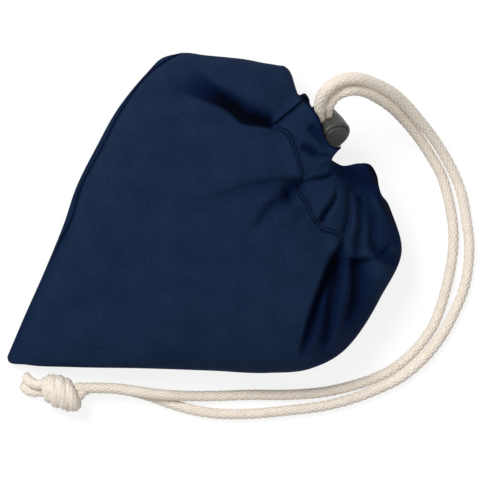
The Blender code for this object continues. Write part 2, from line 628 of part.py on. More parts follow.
def build_knot(collection, cutters, material):
    """Overhand knot as a barrel with three wraps, and the two cut ends of the cord."""
    wide = KNOT_DIAMETER / 2
    half = KNOT_LENGTH / 2
    shape = (
        (0, 1), (0.6, 1), (0.85, 0.9), (0.96, 0.7), (0.93, 0.48), (0.86, 0.36), (0.97, 0.18),
        (1, 0), (0.97, -0.18), (0.88, -0.32), (0.95, -0.48), (0.88, -0.7), (0.72, -0.88),
        (0.48, -1), (0, -1),
    )
    profile = [(wide * radius, half * height) for radius, height in shape]
    knot = turned("cord_knot", profile, 20, collection, material)
    knot.matrix_world = Matrix.Translation(KNOT_AT) @ Matrix.Rotation(math.pi / 2, 4, "Y")
    for i, route in enumerate(TAILS_MM):
        points = []
        for x, y, z in route:
            stretch = TAIL_LENGTH / DRAWN_TAIL if x < 0 else 1
            points.append(KNOT_AT + Vector((x * MM * stretch - half, y * MM, z * MM)))
        cut(knot, joined_tube(f"tail_{i + 1}", points, CORD_DIAMETER / 2, cutters, material), "UNION")


def make_material(name, colour, roughness, metallic=0.0):
    material = bpy.data.materials.new(name)
    material.use_nodes = True
    shader = material.node_tree.nodes["Principled BSDF"]
    shader.inputs["Base Color"].default_value = (*colour, 1)
    shader.inputs["Roughness"].default_value = roughness
    shader.inputs["Metallic"].default_value = metallic
    return material


def main():
    for obj in list(bpy.data.objects):
        bpy.data.objects.remove(obj, do_unlink=True)
    parts = bpy.data.collections.new("foldable_cotton_bag")
    cutters = bpy.data.collections.new("cutters")
    bpy.context.scene.collection.children.link(parts)
    bpy.context.scene.collection.children.link(cutters)

    navy = make_material("navy_cotton", (0.012, 0.024, 0.062), 0.9)
    cream = make_material("natural_cotton_cord", (0.76, 0.69, 0.60), 0.9)
    plastic = make_material("dark_plastic", (0.10, 0.095, 0.088), 0.45)
    button = make_material("dark_plastic_button", (0.075, 0.070, 0.068), 0.5)
    steel = make_material("spring_steel", (0.55, 0.55, 0.56), 0.3, 1.0)

    build_pouch(parts, navy)
    build_stopper(parts, cutters, plastic, button, steel)
    entry = KNOT_AT + Vector((KNOT_LENGTH / 2 + CORD_GAP + 0.0002, 0.0019, 0))
    outer_end = entry - Vector((0, 0, STRAND_DROP))
    inner_end = entry + Vector((0, 0, STRAND_RAISE))
    build_strand("cord_strand_outer", 1, OUTER_THROAT_MM, OUTER_MM, outer_end, parts, cream)
    build_strand("cord_strand_inner", -1, INNER_THROAT_MM, INNER_MM, inner_end, parts, cream)
    build_knot(parts, cutters, cream)


main()
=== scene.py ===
"""Cotton bag in its drawstring pouch: sewn cloth, stitching, braided cord, knot and stopper."""

import math

import bmesh
import bpy
import numpy as np
from mathutils import Matrix, Vector


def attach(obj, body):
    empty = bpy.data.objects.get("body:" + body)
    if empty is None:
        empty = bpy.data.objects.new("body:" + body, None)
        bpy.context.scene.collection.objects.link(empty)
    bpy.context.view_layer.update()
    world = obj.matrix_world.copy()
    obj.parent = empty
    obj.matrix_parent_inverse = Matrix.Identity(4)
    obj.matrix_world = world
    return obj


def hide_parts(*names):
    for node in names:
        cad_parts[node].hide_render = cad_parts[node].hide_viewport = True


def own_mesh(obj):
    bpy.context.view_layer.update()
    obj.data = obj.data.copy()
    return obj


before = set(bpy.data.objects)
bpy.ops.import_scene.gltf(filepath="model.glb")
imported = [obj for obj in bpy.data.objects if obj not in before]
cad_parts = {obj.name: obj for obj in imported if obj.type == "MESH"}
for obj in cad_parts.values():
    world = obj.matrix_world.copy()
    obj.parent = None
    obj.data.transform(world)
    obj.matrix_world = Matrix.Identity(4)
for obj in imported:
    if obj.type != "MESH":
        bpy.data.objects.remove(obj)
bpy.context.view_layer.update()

MM = 0.001

# Camera, straight above the pouch, with a long lens
CAMERA_HEIGHT = 4.0
VIEW_CENTRE = (0.0159, -0.0124)
VIEW_WIDTH = 0.2093
VIEW_LEVEL = 0.02
SENSOR_WIDTH = 36

# Cord
CORD_DIAMETER = 0.0044
CORD_SQUEEZED = 0.0033
BRAID_YARNS = 8
BRAID_CELL = 0.0031
BRAID_DEPTH = 0.00042
TUBE_SIDES = 48
TUBE_STEP = 0.0004
FRAYED_YARNS = 26
FRAY_SEED = 11
YARN_RADIUS = 0.0003
YARN_TIP = 0.0001
YARN_ROOT = 0.0006
BRAID_CLEARANCE = 0.0002
# The free arc between the stopper and the surface is a little fuller: extra radius, the heights
# between which it comes in, and how far along the strand it can start
ARC_FULLNESS = 0.0004
ARC_LOW = 0.008
ARC_HIGH = 0.028
ARC_START = 0.03

# Cloth
SEAM_THICKNESS = 0.0014
HEM_THICKNESS = 0.0011
CLOTH_ROOM = 3.4 * HEM_THICKNESS
UPPER_COLUMNS = 258
LOWER_COLUMNS = 58
COLUMN_BUNCHING = (0.45, 0.6)
# Shares of the pouch's length over which its seam rounds off and its folds come in, and shares of
# its swell over which the edge thickens and the folds, the painted shade in their valleys and the
# painted shades come in
SEAM_ROUNDING = 0.004
FOLDS_FROM_SEAM = 0.05
EDGE_THICKENS = 0.3
FOLDS_FROM_EDGE = 0.35
SHADES_FROM_EDGE = 0.12
TOP_BULGE = 0.75
UNDER_BULGE = 0.6
# Gathers of the hidden lower cloth towards the mouth
GATHER_FROM = 0.72
GATHER_FULL = 0.92
GATHER_WAVES = 8.5
GATHER_DEPTH = 0.0011
# Rows of corners along the pouch: from, to, and how many
ALONG_ROWS = (
    (0, 0.03, 18), (0.03, 0.60, 94), (0.60, 0.895, 78), (0.895, 0.945, 54), (0.945, 1, 30),
)
ROUTE_END_MM = 1.5
HEM_ROW = 0.92
HEM_SEEN_TO = 0.815
HEM_COLUMNS_SEEN = (0.31, 0.74)
# Scale of fold heights, in metres, for the painted shade in the valleys of the folds
FOLD_SHADE_SPAN = 0.020

# Sewing: distance of the two hem rows from the middle of the hem line, and the stitches
STITCH_SPREAD = 0.0008
STITCH_LENGTH = 0.0022
STITCH_OVERLAP = 1.04
HEM_STITCH_GAP = 0.0004
HEM_THREAD = 0.00032
HEM_STITCH_SINK = 0.0001
SEAM_STITCH_GAP = 0.0005
SEAM_THREAD = 0.00026
SEAM_STITCH_SINK = 0.00012

# Places across the rows of the pouch, from the near edge (0) to the far edge (1)
EIGHTHS = tuple(step / 8 for step in range(9))
SEAM_PLACES = (*EIGHTHS[:8], 0.9375, 1)
CREASE_PLACES = (*EIGHTHS[:7], 0.8125, *EIGHTHS[7:])
SIXTEENTHS = tuple(step / 16 for step in range(17))
HEM_PLACES = (*SIXTEENTHS[:15], 1)
RIM_PLACES = (*SIXTEENTHS[:7], 0.44, *SIXTEENTHS[8:])

# Rows of the pouch from its side seam (0) to its rim (1): place along, places across, and X and Y
# at each of them in millimetres.
ROWS_MM = (
    (0, SEAM_PLACES,
     (-86, -63.5), (-78.5, -46), (-70, -27), (-61.5, -6.5), (-55.5, 11), (-47, 28), (-37.5, 45),
     (-25, 60.5), (-18.5, 67), (-10, 69.5)),
    (0.012, SEAM_PLACES,
     (-85.5, -65.5), (-76.5, -46.5), (-68, -27), (-59.5, -7), (-54, 11), (-45, 28), (-36, 45),
     (-24, 60.5), (-17, 66), (-9.5, 69.5)),
    (0.05, SEAM_PLACES,
     (-77.5, -67), (-70.5, -47.5), (-62.5, -28), (-54.5, -8.5), (-48, 10.5), (-40, 28.5),
     (-30.5, 45.5), (-20, 60), (-14, 65.5), (-7, 69.5)),
    (0.15, EIGHTHS,
     (-58, -68), (-53.5, -49.5), (-47, -30), (-40, -10), (-33, 9.5), (-26, 27.5), (-18, 45),
     (-10, 58.5), (0, 68.5)),
    (0.3, EIGHTHS,
     (-27.5, -68.5), (-25, -51.5), (-21, -33.5), (-17, -14.5), (-12.5, 5), (-8, 23.5), (-3.5, 41),
     (2.5, 56), (10, 67.5)),
    (0.45, EIGHTHS,
     (3, -69.5), (3, -53.5), (3.5, -35.5), (5, -17), (7, 2.5), (9, 21), (11.5, 39), (14.5, 54.5),
     (18.5, 66.5)),
    (0.58, EIGHTHS,
     (28, -70.5), (25.5, -55), (23.5, -37.5), (21, -18.5), (20, 0.5), (19.5, 20), (20, 37),
     (22, 53), (26, 65)),
    (0.68, EIGHTHS,
     (47, -68.5), (42, -54.5), (37.5, -37.5), (33, -19), (28.5, 0), (26, 18), (24, 34), (26, 50),
     (32, 64)),
    (0.78, CREASE_PLACES,
     (64, -58), (57.5, -47), (50.5, -33), (43.5, -16.5), (36.5, 0), (32, 17), (28, 32),
     (26.5, 39.5), (28.5, 47), (36, 63)),
    (0.86, CREASE_PLACES,
     (77, -38), (67, -34), (57, -24), (46.5, -10), (38.5, 3.5), (36, 18), (32, 32.5), (28.5, 38),
     (30.5, 45), (38.5, 59.5)),
    (0.92, HEM_PLACES,
     (86.5, -16.5), (79, -18.5), (71, -20.5), (62, -18.5), (58, -10), (51.5, -7.5), (47.5, -2.5),
     (44.5, 4), (41, 9.5), (43, 15.5), (41.5, 21.5), (39.5, 28), (36.5, 34), (31, 37),
     (33.5, 42.5), (40.5, 53)),
    (0.96, SIXTEENTHS,
     (82.5, -1.5), (77.5, 0), (72, 1.5), (67.5, 2.5), (62.5, 4.5), (58, 8), (54.5, 12), (51, 16),
     (49.5, 20), (48, 24.5), (46.5, 30), (44.5, 35), (42.5, 39.5), (41, 43.5), (40.5, 46.5),
     (41, 49.5), (41.5, 51)),
    (0.98, SIXTEENTHS,
     (79.5, 5), (76.5, 7.5), (72.5, 11), (67.5, 11.5), (62.5, 12), (58.5, 14), (55, 17),
     (54.5, 20.5), (54.5, 24), (52, 26.5), (50, 30), (48, 35), (46.5, 39.5), (44.5, 43.5),
     (43, 46.5), (43, 49), (42.5, 51)),
    (0.991, SIXTEENTHS,
     (76.5, 8), (76, 12.5), (72.5, 16), (67.5, 16.5), (62, 16.5), (58.5, 17), (55.5, 20), (56, 23),
     (57.5, 26), (54.5, 27.5), (52, 30.5), (50, 35), (48.5, 40), (46.5, 43.5), (45, 46.5),
     (44.5, 49), (43.5, 51.5)),
    (1, RIM_PLACES,
     (76.5, 10.5), (75.5, 15.5), (72.5, 20), (67.5, 20.5), (62, 19.5), (59, 20), (55.5, 22.5),
     (57.5, 25.5), (59.5, 27.5), (56, 28), (53.5, 30.5), (51.5, 35), (50, 40), (48, 43.5),
     (46, 46.5), (45.5, 49), (44, 51.5)),
)

# Folds of the cloth in millimetres: name, height on the left and on the right of the route,
# width on the left and on the right, half width of the change between them, and the route as
# X, Y and strength (1 where none is given).
FOLDS_MM = (
    ("soft hollow of the far pleat", -3.8, -3.8, 4.4, 3.5, 1.31,
     (-12.9, 55.2, 0.1), (-5.9, 53.6, 0.6), (0.2, 51.4, 0.9), (6.3, 48.2), (12.4, 44.7),
     (18.5, 42.1, 0.9), (23.8, 40.5, 0.6)),
    ("lip over the far pleat", -8.5, 0.7, 5.2, 4.8, 0.52,
     (-8.5, 52.1, 0), (-3.3, 49.9, 0.2), (2, 47.8, 0.45), (6.3, 46.1, 0.7), (9.8, 44.5, 0.85),
     (12.4, 42.5, 0.95), (14.6, 40.3), (16.8, 38.4), (20.3, 37.5), (24.6, 36.9), (28.1, 36.2, 0.8),
     (30.3, 35.8, 0)),
    ("upper arm of the far pleat", -1.3, -1.3, 2.2, 2.2, 1.31,
     (-6.8, 61.3, 0.2), (-3.3, 58.6, 0.8), (1.1, 55.6), (5.5, 52.3), (9.8, 49, 0.6)),
    ("crease of the flap", 1.2, -2.4, 7.8, 1.6, 0.39,
     (27.7, 36, 0), (29.4, 37.3, 0.9), (32, 39.2), (35.5, 42.1), (38.8, 44.7), (41.9, 47.3, 0.9),
     (43.8, 49, 0.5), (45.1, 50.1, 0)),
    ("tuck at the casing", -4.6, -4.6, 3.1, 3.1, 1.31,
     (42.9, 11.3, 0.5), (39.8, 10), (37.2, 7.8), (35, 6.1, 0.5)),
    ("long valley from the tuck", -2.8, -2.8, 4.4, 2.4, 1.31,
     (41.7, 11.6, 0.6), (36.4, 12.3, 0.9), (29.5, 11.8), (22.5, 10.7, 0.9), (15.5, 8.8, 0.7),
     (8.5, 6.4, 0.5), (1.6, 3.3, 0.35), (-5.4, 0.3, 0.1)),
    ("short valley from the tuck", -3.2, -3.2, 3.1, 2.4, 1.31,
     (36.2, 6.3, 0.9), (32.3, 4.1), (29.2, 1), (26.6, -2.5, 0.9), (24, -6.4, 0.6),
     (22.2, -9.9, 0.15)),
    ("fork of the short valley", -2.4, -2.4, 2.2, 2.2, 1.31,
     (38.1, 5.7, 0.8), (35.5, 3.1, 0.9), (32.9, 0.4, 0.4)),
    ("third valley from the tuck", -1.2, -1.2, 2.2, 2.2, 1.31,
     (44.3, -1.7, 0.6), (41.2, -5.2, 0.8), (38.1, -8.7, 0.3)),
    ("front panel folded over the side", -8, 1.6, 4.4, 11.3, 0.52,
     (61.7, -10.7, 0), (59.5, -13.7, 0.3), (57.8, -16.4, 0.55), (55.4, -19.8, 0.95), (53.4, -23.8),
     (51.7, -28.6), (49.5, -34.2, 0.9), (47.7, -39.5, 0.8), (46, -44.7, 0.75), (44.5, -49.9, 0.65),
     (43.2, -55.2, 0.5), (42.1, -60.4, 0.25), (41.6, -63.4, 0)),
    ("side ridge one", 1.8, 1.8, 2, 2, 1.31,
     (53, -32.5, 0.2), (52.5, -38.6, 0.7), (51.7, -46.4, 0.9), (49.9, -53.4), (47.7, -60.4, 0.5)),
    ("side valley one", -4.2, -4.2, 2.6, 2.6, 1.31,
     (57.8, -22, 0.6), (57.1, -29), (56.2, -36), (55.2, -42.9), (54.1, -49.9), (53, -56, 0.9),
     (51.7, -61.3, 0.3)),
    ("side ridge two with its sharp edge", -5.5, 3.2, 7.4, 2.8, 0.7,
     (63.9, -19.4, 0), (63.9, -22), (63.9, -28.1), (63.4, -34.2), (62.3, -39.9, 0.9),
     (61, -45.1, 0.6), (59.5, -50.8, 0.3), (58.2, -55.2, 0)),
    ("end of side ridge two", 2, 2, 3.1, 3.1, 1.31,
     (60.7, -48, 0.5), (59, -54.1), (56.8, -60.2, 0.6)),
    ("broad side swell", 2, 2, 3.9, 3.9, 1.31,
     (76.5, -24.6, 0.6), (77.4, -30.7), (75.2, -37.7, 0.6)),
    ("step at the casing seam", 1.4, -1.5, 3.1, 3.5, 0.52,
     (59.5, -20.1, 0), (61.3, -20.3, 0.8), (64.7, -20.5), (68.7, -20.5), (71.3, -20.3, 0.6),
     (73, -20.1, 0)),
    ("turned corner of the casing seam", -2.2, 0.6, 3.5, 3.5, 0.61,
     (73.5, -19.4, 0), (75.2, -20.3, 0.8), (78.3, -22), (81.8, -24.4, 0.6), (83.5, -25.5, 0)),
    ("wrinkle above the casing seam", -1.8, -1.8, 1.3, 1.3, 0.87,
     (73.1, -14.8, 0.6), (74.9, -17.4), (77, -18.7), (79.2, -17.4), (81.4, -14.8, 0.5)),
    ("valley of the casing one", -3.6, 1.2, 2.4, 3.9, 0.52,
     (57.6, 10.7, 0), (57.1, 8.5, 0.6), (56, 5.5), (54.1, 2.6), (51.9, -0.2), (50.6, -2.8),
     (49.9, -5, 0.4), (49.5, -6.3, 0)),
    ("valley of the casing two", -3.2, -3.2, 1.5, 2.2, 0.65,
     (62.6, 11.1, 0.4), (63.4, 7.6, 0.9), (63.9, 3.3), (63.4, -1.5), (62.6, -5.9),
     (61.5, -9.8, 0.7), (60.4, -13.3, 0.3), (59.1, -16.4, 0)),
    ("valley of the casing three", -3.4, -3.4, 1.7, 2, 0.78,
     (64.6, 9.8, 0.6), (66.8, 6.3, 0.9), (68.1, 2.3), (68.5, -2.5), (68.3, -8.1), (67.4, -13.4),
     (67.2, -19)),
    ("thin wrinkle of the casing", -1.4, -1.4, 0.8, 0.8, 0.52,
     (65.5, 8.5, 0.6), (67.7, 5.1), (69.9, 1.1), (71.4, -3.2, 0.5)),
    ("valley of the casing four", -3.4, -3.4, 2, 2.2, 0.78,
     (69.1, 6.2, 0.6), (71.2, 3.1, 0.9), (73, -1.7), (73.9, -7.4), (73.6, -12.2),
     (74.7, -16.5, 0.8)),
    ("edge of the casing", -2, 0.4, 2.6, 2.6, 0.61,
     (75.2, 10.7, 0), (77, 7.2, 0.8), (78.7, 3.7), (80.4, -0.2), (81.8, -4.6, 0.9),
     (82.8, -9.4, 0.4), (83.5, -12.4, 0)),
    ("lobe lying behind the casing", -3.6, 0.4, 6.1, 1.7, 0.7,
     (54.7, 19.8, 0), (56.9, 17.2, 0.6), (59.5, 15), (62.6, 12.9), (65.2, 10.7), (67.8, 8.1, 0.7),
     (70, 5, 0.2), (71.3, 2.8, 0)),
    ("edge of the lobe", -2.6, 0.3, 2.2, 1.7, 0.61,
     (70, 22, 0), (71.3, 19.8, 0.7), (73, 16.8), (74.8, 13.3), (76.1, 10.7, 0.6), (77, 8.9, 0)),
    ("casing dimple one", -2.4, -2.4, 2.2, 2.2, 1.09,
     (47.3, 36.2, 0.8), (49, 34), (51.2, 31.4, 0.9), (53.4, 28.3, 0.6), (55.6, 24.4, 0.4)),
    ("casing dimple two", -2.6, -2.6, 2, 2, 1.09,
     (43.7, 27.6, 0.8), (45.9, 26.3), (48.1, 25, 0.8)),
    ("tail of dimple two", -1.6, -1.6, 1, 1, 0.65,
     (47.3, 25, 0.6), (50.3, 23.9), (53.8, 23.9, 0.9), (56, 22.8, 0.5)),
    ("casing dimple three", -2.2, -2.2, 1.1, 1.7, 0.65,
     (43.9, 12.2, 0.5), (47.4, 13.5, 0.8), (50.5, 13.9), (53.5, 14.6), (55.7, 16.1, 0.6)),
    ("casing dimple four", -1, -1, 1.1, 1.1, 0.87,
     (53, 20.2), (53.8, 18.4, 0.6)),
    ("swell of the front lobe", 1.2, 1.2, 5.2, 5.2, 1.31,
     (49.4, 6.8, 0.8), (53.8, 5.9), (56.4, 8.5, 0.8)),
    ("lip inside the rim", -1.4, -1.4, 0.7, 0.7, 0.44,
     (40.3, 51.7, 0), (41.6, 50.6, 0.8), (43.4, 49.3), (45.6, 47.5), (47.3, 45.6, 0.6),
     (48.6, 43.8, 0)),
    ("crease of the far corner", 0.5, 0.5, 3.1, 3.1, 1.31,
     (-10.8, 64.5, 0.3), (3.2, 64.5), (21.1, 61.5), (34.1, 58.4, 0.4)),
    ("swell beside valley one", 1, 1, 2.2, 2.2, 1.31,
     (55.6, -1.5, 0.7), (57.8, 3.3), (59.5, 8.1, 0.7)),
    ("ridge of the casing", 1, 1, 1.7, 1.7, 1.31,
     (65.2, 2.8, 0.6), (65.6, -3.7), (64.3, -10.7), (63, -16.8, 0.8)),
)

# Painted shade on the cloth in its folds, hollows and under its panels, in millimetres: name, how
# deep, half width on the left and on the right of the route, and the route as for the folds.
PAINTED_SHADES_MM = (
    ("pleat along its lip", 0.93, 7.4, 0.6,
     (-2.4, 49.3, 0.1), (2, 47.7, 0.35), (6.3, 46, 0.65), (9.8, 44.5, 0.9), (12.4, 42.5),
     (14.6, 40.3), (16.8, 38.5), (20.3, 37.6), (24.6, 37), (28.1, 36.4, 0.9), (30.3, 35.8, 0)),
    ("upper arm of the pleat", 0.45, 2.6, 2.6,
     (-6.3, 61.3, 0.3), (-2.8, 58.6, 0.8), (1.1, 55.8), (5, 52.8), (8.9, 49.5, 0.8)),
    ("flat of the pleat", 0.33, 3.5, 3.1,
     (-14.6, 56, 0.5), (-9.4, 54.7, 0.9), (-3.3, 53), (2.8, 50.4, 0.8)),
    ("tuck", 0.25, 3.1, 3.1,
     (41.6, 12.4, 0.7), (38.1, 10.7), (35.1, 8.1, 0.8)),
    ("dark lobe", 0.74, 5.7, 5.7,
     (56.9, 19.4, 0.7), (61.7, 16.8), (67.4, 15), (72.6, 12.4), (76.1, 9.4, 0.7)),
    ("edge of the lobe", 0.93, 2.2, 2,
     (70.8, 21.1, 0.8), (72.6, 19), (74.3, 15.9), (75.9, 12.4, 0.9), (76.5, 10.2, 0.5)),
    ("edge of the casing", 0.93, 2.2, 2.2,
     (76.5, 7.2, 0.9), (78.3, 4.1), (80, 1.1), (81.8, -3.3, 0.9), (83.3, -8.1, 0.7),
     (84.8, -13.3, 0.4)),
    ("far side of the casing", 0.38, 5.7, 5.7,
     (70.8, 5, 0.5), (74.3, -1.1, 0.8), (77.8, -8.9), (80.4, -15.9)),
    ("side under the front panel", 0.54, 29.6, 0.5,
     (60, -13.7, 0.2), (57.3, -17.2, 0.8), (55.2, -20.3), (53.4, -24.2), (51.2, -29.4),
     (49, -35.1), (47.3, -40.3), (45.6, -45.6), (44, -50.8, 0.9), (42.5, -56.5, 0.7),
     (41.2, -61.3, 0.4)),
    ("shadow of the front panel", 0.55, 3.5, 0.4,
     (57.8, -16.4, 0.5), (55.6, -19.8), (53.6, -24.2), (51.4, -29.9, 0.9), (49.3, -35.5, 0.75),
     (47.3, -41.2, 0.7), (45.6, -47.3, 0.65), (43.8, -53.4, 0.5), (42.1, -59.5, 0.2)),
    ("side valley one", 0.45, 2.6, 2.6,
     (57.3, -22, 0.7), (56.5, -29.9), (55.2, -37.7), (53.8, -45.6), (51.7, -56, 0.8)),
    ("side valley two", 0.6, 3.5, 3.5,
     (66.1, -21.1), (66.1, -27.2), (65.6, -34.2), (64.3, -41.2, 0.9), (62.6, -48.2, 0.6)),
    ("casing corner", 0.6, 3.1, 3.1,
     (75.2, -18.5, 0.7), (79.1, -19.8), (83.1, -22, 0.9)),
    ("far outline", 0.6, 2.2, 2.2,
     (86.1, -16.8, 0.8), (85.2, -22.9), (80, -34.2), (71.3, -49.9), (61.7, -60.4),
     (49.9, -67.8, 0.8), (40.3, -70, 0.4)),
    ("rim behind the stopper", 1, 1, 1.3,
     (42.5, 49.9, 0.7), (44.7, 48), (47.1, 45.6), (49.3, 42.7), (51, 39), (52.6, 34.7),
     (54.1, 31.2), (56, 28.8), (58.6, 27.7), (60.8, 28.1, 0.8)),
    ("inner lip", 1, 1.3, 1.3,
     (41.6, 50.4, 0.9), (42.9, 51), (44.7, 49.7), (46, 48.2)),
    ("casing dimple", 0.5, 2.4, 2.4,
     (46.4, 36.8, 0.8), (48.6, 34.7), (50.8, 31.6, 0.9), (53, 28.1, 0.5)),
    ("second dimple", 0.5, 2, 2,
     (43.4, 28.1, 0.8), (46, 26.8), (49.5, 25.1, 0.6)),
    ("line under the casing", 0.45, 1.1, 1.1,
     (47.3, 14.2, 0.5), (50.4, 14.6), (53.8, 15.5, 0.9)),
    ("casing valley one", 0.35, 1.7, 1.3,
     (56.7, 7.2, 0.8), (54.9, 3.7), (52.5, 0.2), (51, -3.3, 0.8)),
)

# Heights along the pouch: place from seam to rim, height of the sides (near, middle, far), rise
# of the upper cloth over them and drop of the lower cloth under them (five places), millimetres.
HEIGHTS_MM = (
    (0.00, (4, 13.5, 7), (0, 0, 0, 0, 0), (0, 0, 0, 0, 0)),
    (0.015, (4.3, 13.6, 7.3), (0.3, 0.3, 0.3, 0.3, 0.3), (0.3, 0.3, 0.3, 0.3, 0.3)),
    (0.05, (6, 14, 8.5), (5, 7.5, 8.5, 7.5, 5), (6, 10, 13, 10, 7)),
    (0.15, (9, 14.5, 10), (12, 15.5, 17, 15.5, 12), (13, 19, 22, 19, 14)),
    (0.30, (12, 15, 12), (20, 22, 24, 22, 18), (20, 24, 26, 24, 20)),
    (0.45, (13, 15, 13.5), (24, 27, 28.5, 27, 22), (22, 26, 27, 26, 22)),
    (0.58, (14, 16, 15), (26, 29, 30.5, 29, 23), (23, 26, 27, 26, 22)),
    (0.68, (15, 17, 16), (26, 28.5, 30, 28.5, 22), (23, 26, 27, 25, 21)),
    (0.78, (16, 18, 17.5), (23, 26, 28, 26.5, 19), (23, 24, 24, 23, 20)),
    (0.86, (17, 19, 19.5), (20, 22.5, 25.5, 24, 16), (20, 19, 19, 20, 18)),
    (0.92, (18, 20.5, 21.5), (16, 18.5, 22.5, 21.5, 13), (12, 12, 15, 17, 15)),
    (0.96, (20, 22, 23), (13, 15, 19.5, 19, 13), (6, 6, 12, 14.5, 14)),
    (1.00, (22, 23.5, 25), (9, 12.5, 16.5, 17.5, 13), (-3, -5.5, 9.5, 14, 12)),
)

# Rows of the lining from the rim into the throat: place along, share of the hem's thickness that
# it is set in by, and share of the throat that is closed.
THROAT_ROWS = (
    (1.0012, 0.04, 0), (1.0026, 0.25, 0), (1.003, 0.5, 0), (1.0026, 0.75, 0), (1.0012, 0.96, 0),
    (0.998, 1, 0), (0.993, 1, 0.01), (0.987, 1, 0.03), (0.98, 1, 0.06), (0.973, 1, 0.11),
    (0.965, 1, 0.18), (0.959, 1, 0.3), (0.953, 1, 0.48), (0.949, 1, 0.68), (0.946, 1, 0.88),
    (0.944, 1, 1),
)

# Where the lining starts across the pouch and how much of its width it takes, how far back the
# rim's own direction is read, and how far its roll stands out for each step past the rim
LINING_START = 0.035
LINING_WIDTH = 0.93
RIM_BACK = 0.99
RIM_ROLL = 0.15

# Stopper: middle, directions of its button, its cord hole and the two strands in it side by
# side, sizes, and the button's travel
STOPPER_AT = Vector((0.0542, 0.0369, 0.0298))
STOPPER_AXIS = Vector((0.46, -0.655, 0.6)).normalized()
CORD_WAY = Vector((-0.184, 0.590, 0.786)).normalized()
STRAND_SIDE = STOPPER_AXIS.cross(CORD_WAY).normalized()
STOPPER_DIAMETER = 0.015
HOLE_FLARE = 0.0006
CORD_GAP = 0.0003

KNOT_AT = Vector((-0.0612, -0.0790, 0.0076))
# Ends of the strands inside the knot, from its middle
OUTER_END = (0.00475, 0.0019, -0.0042)
INNER_END = (0.00475, 0.0019, 0.0006)

# Routes of the strands in millimetres: the hidden start in the throat, then from the stopper to
# the knot. Z is given only where the strand is off the surface it lies on.
LYING_HEIGHT_MM = 2.2
OUTER_THROAT_MM = (
    (49.2, 24.5, 21.6), (51.4, 26.6, 21.1), (53.6, 29.1, 21.8),
)
OUTER_ROUTE_MM = (
    (50.7, 47.6, 42.55), (53.2, 52.5, 45.95), (59.3, 56.7, 46.45), (66.7, 57.6, 43.45),
    (73.5, 55.8, 37.95), (81.3, 52.1, 30.95), (87.6, 46.9, 23.95), (94.4, 39.5, 16.45),
    (100.7, 31.7, 9.95), (106.4, 22.8, 5.15), (110.6, 14.4, 2.85), (113.4, 5.9), (115.1, -4.1),
    (116.2, -13.3), (115.8, -24), (114, -33.5), (110.5, -42.5), (106.6, -50.4), (101.6, -58.2),
    (94.8, -65.8), (86.8, -72.4), (77.4, -77.2), (66.9, -81.3), (53, -85), (37.3, -87),
    (20.3, -88.5), (4.6, -88.3), (-5.9, -86.5), (-14.2, -84.1), (-21.6, -81.5), (-29.9, -79.1),
    (-38.6, -77.6), (-46, -77.3, 2.55),
)
INNER_THROAT_MM = (
    (54.9, 26.8, 17.4), (57.2, 28.7, 18.1), (58.2, 30.9, 20.4),
)
INNER_ROUTE_MM = (
    (54.7, 46.7, 39.45), (57.6, 50.4, 41.45), (63, 52.6, 41.95), (69.3, 52.4, 37.95),
    (75.5, 49.7, 32.35), (81.8, 45.6, 25.35), (87.4, 40.2, 18.15), (93.2, 33.4, 11.35),
    (98.9, 25.1, 6.15), (103.8, 16.5, 3.35), (106.5, 8.2, 2.35), (108.3, -0.2), (109.3, -8.1),
    (109.2, -16), (108.2, -24), (106.1, -33.5), (103.5, -42.5), (100.5, -49.9), (96.1, -56.5),
    (90, -63.2), (82.6, -69.1), (74.3, -73.2), (64.7, -76.3), (53, -78.9), (37.3, -80.2),
    (20.3, -80.2), (4.6, -80.7), (-5.9, -80.7, 3.55), (-15.5, -80.2, 6.15), (-22.5, -79.5, 7),
    (-29.9, -78.4, 7), (-38.6, -77.3, 6.95), (-46, -77, 7.35),
)

# The two cut ends of the cord: places from the knot's middle, and radius, millimetres
TAILS_MM = (
    (
        (-5, 3, -0.6, 2.1), (-8.5, 3.4, -0.6, 2.2), (-11.5, 3.4, -0.9, 2.2),
        (-14, 4.2, -1.8, 2.2), (-15.7, 5.6, -3, 2.1), (-16.7, 7, -4.2, 1.9),
    ),
    (
        (-5, 0.7, -3, 2.1), (-8.5, 0.5, -3.6, 2.2), (-11.8, 0.3, -4.4, 2.3),
        (-14.6, 0.6, -5, 2.4), (-16.6, 1.6, -5.3, 2.3), (-18, 3.2, -5.4, 2),
    ),
)


def metres(values):
    return [MM * value for value in values]


def set_camera():
    data = bpy.data.cameras.new("camera")
    data.sensor_width = SENSOR_WIDTH
    data.lens = SENSOR_WIDTH * (CAMERA_HEIGHT - VIEW_LEVEL) / VIEW_WIDTH
    data.clip_end = 5 * CAMERA_HEIGHT
    camera = bpy.data.objects.new("camera", data)
    camera.location = (*VIEW_CENTRE, CAMERA_HEIGHT)
    bpy.context.scene.collection.objects.link(camera)
    bpy.context.scene.camera = camera


def smooth(knots, values, at):
    """Values of a smooth curve through the knots, read at the given places."""
    knots = np.asarray(knots, float)
    values = np.asarray(values, float)
    slopes = np.gradient(values, knots, axis=0)
    index = np.clip(np.searchsorted(knots, at, side="right") - 1, 0, len(knots) - 2)
    span = knots[index + 1] - knots[index]
    part = (at - knots[index]) / span
    shape = part.shape + (1,) * (values.ndim - 1)
    span = span.reshape(shape)
    part = part.reshape(shape)
    first = (1 + 2 * part) * (1 - part) ** 2
    second = part * (1 - part) ** 2
    third = part**2 * (3 - 2 * part)
    fourth = part**2 * (part - 1)
    start = first * values[index] + second * span * slopes[index]
    return start + third * values[index + 1] + fourth * span * slopes[index + 1]


def distance_run(places):
    """Distance run so far at each point of a line, or down each column of a grid."""
    steps = np.linalg.norm(np.diff(places, axis=0), axis=-1)
    return np.concatenate([np.zeros((1, *steps.shape[1:])), np.cumsum(steps, axis=0)])


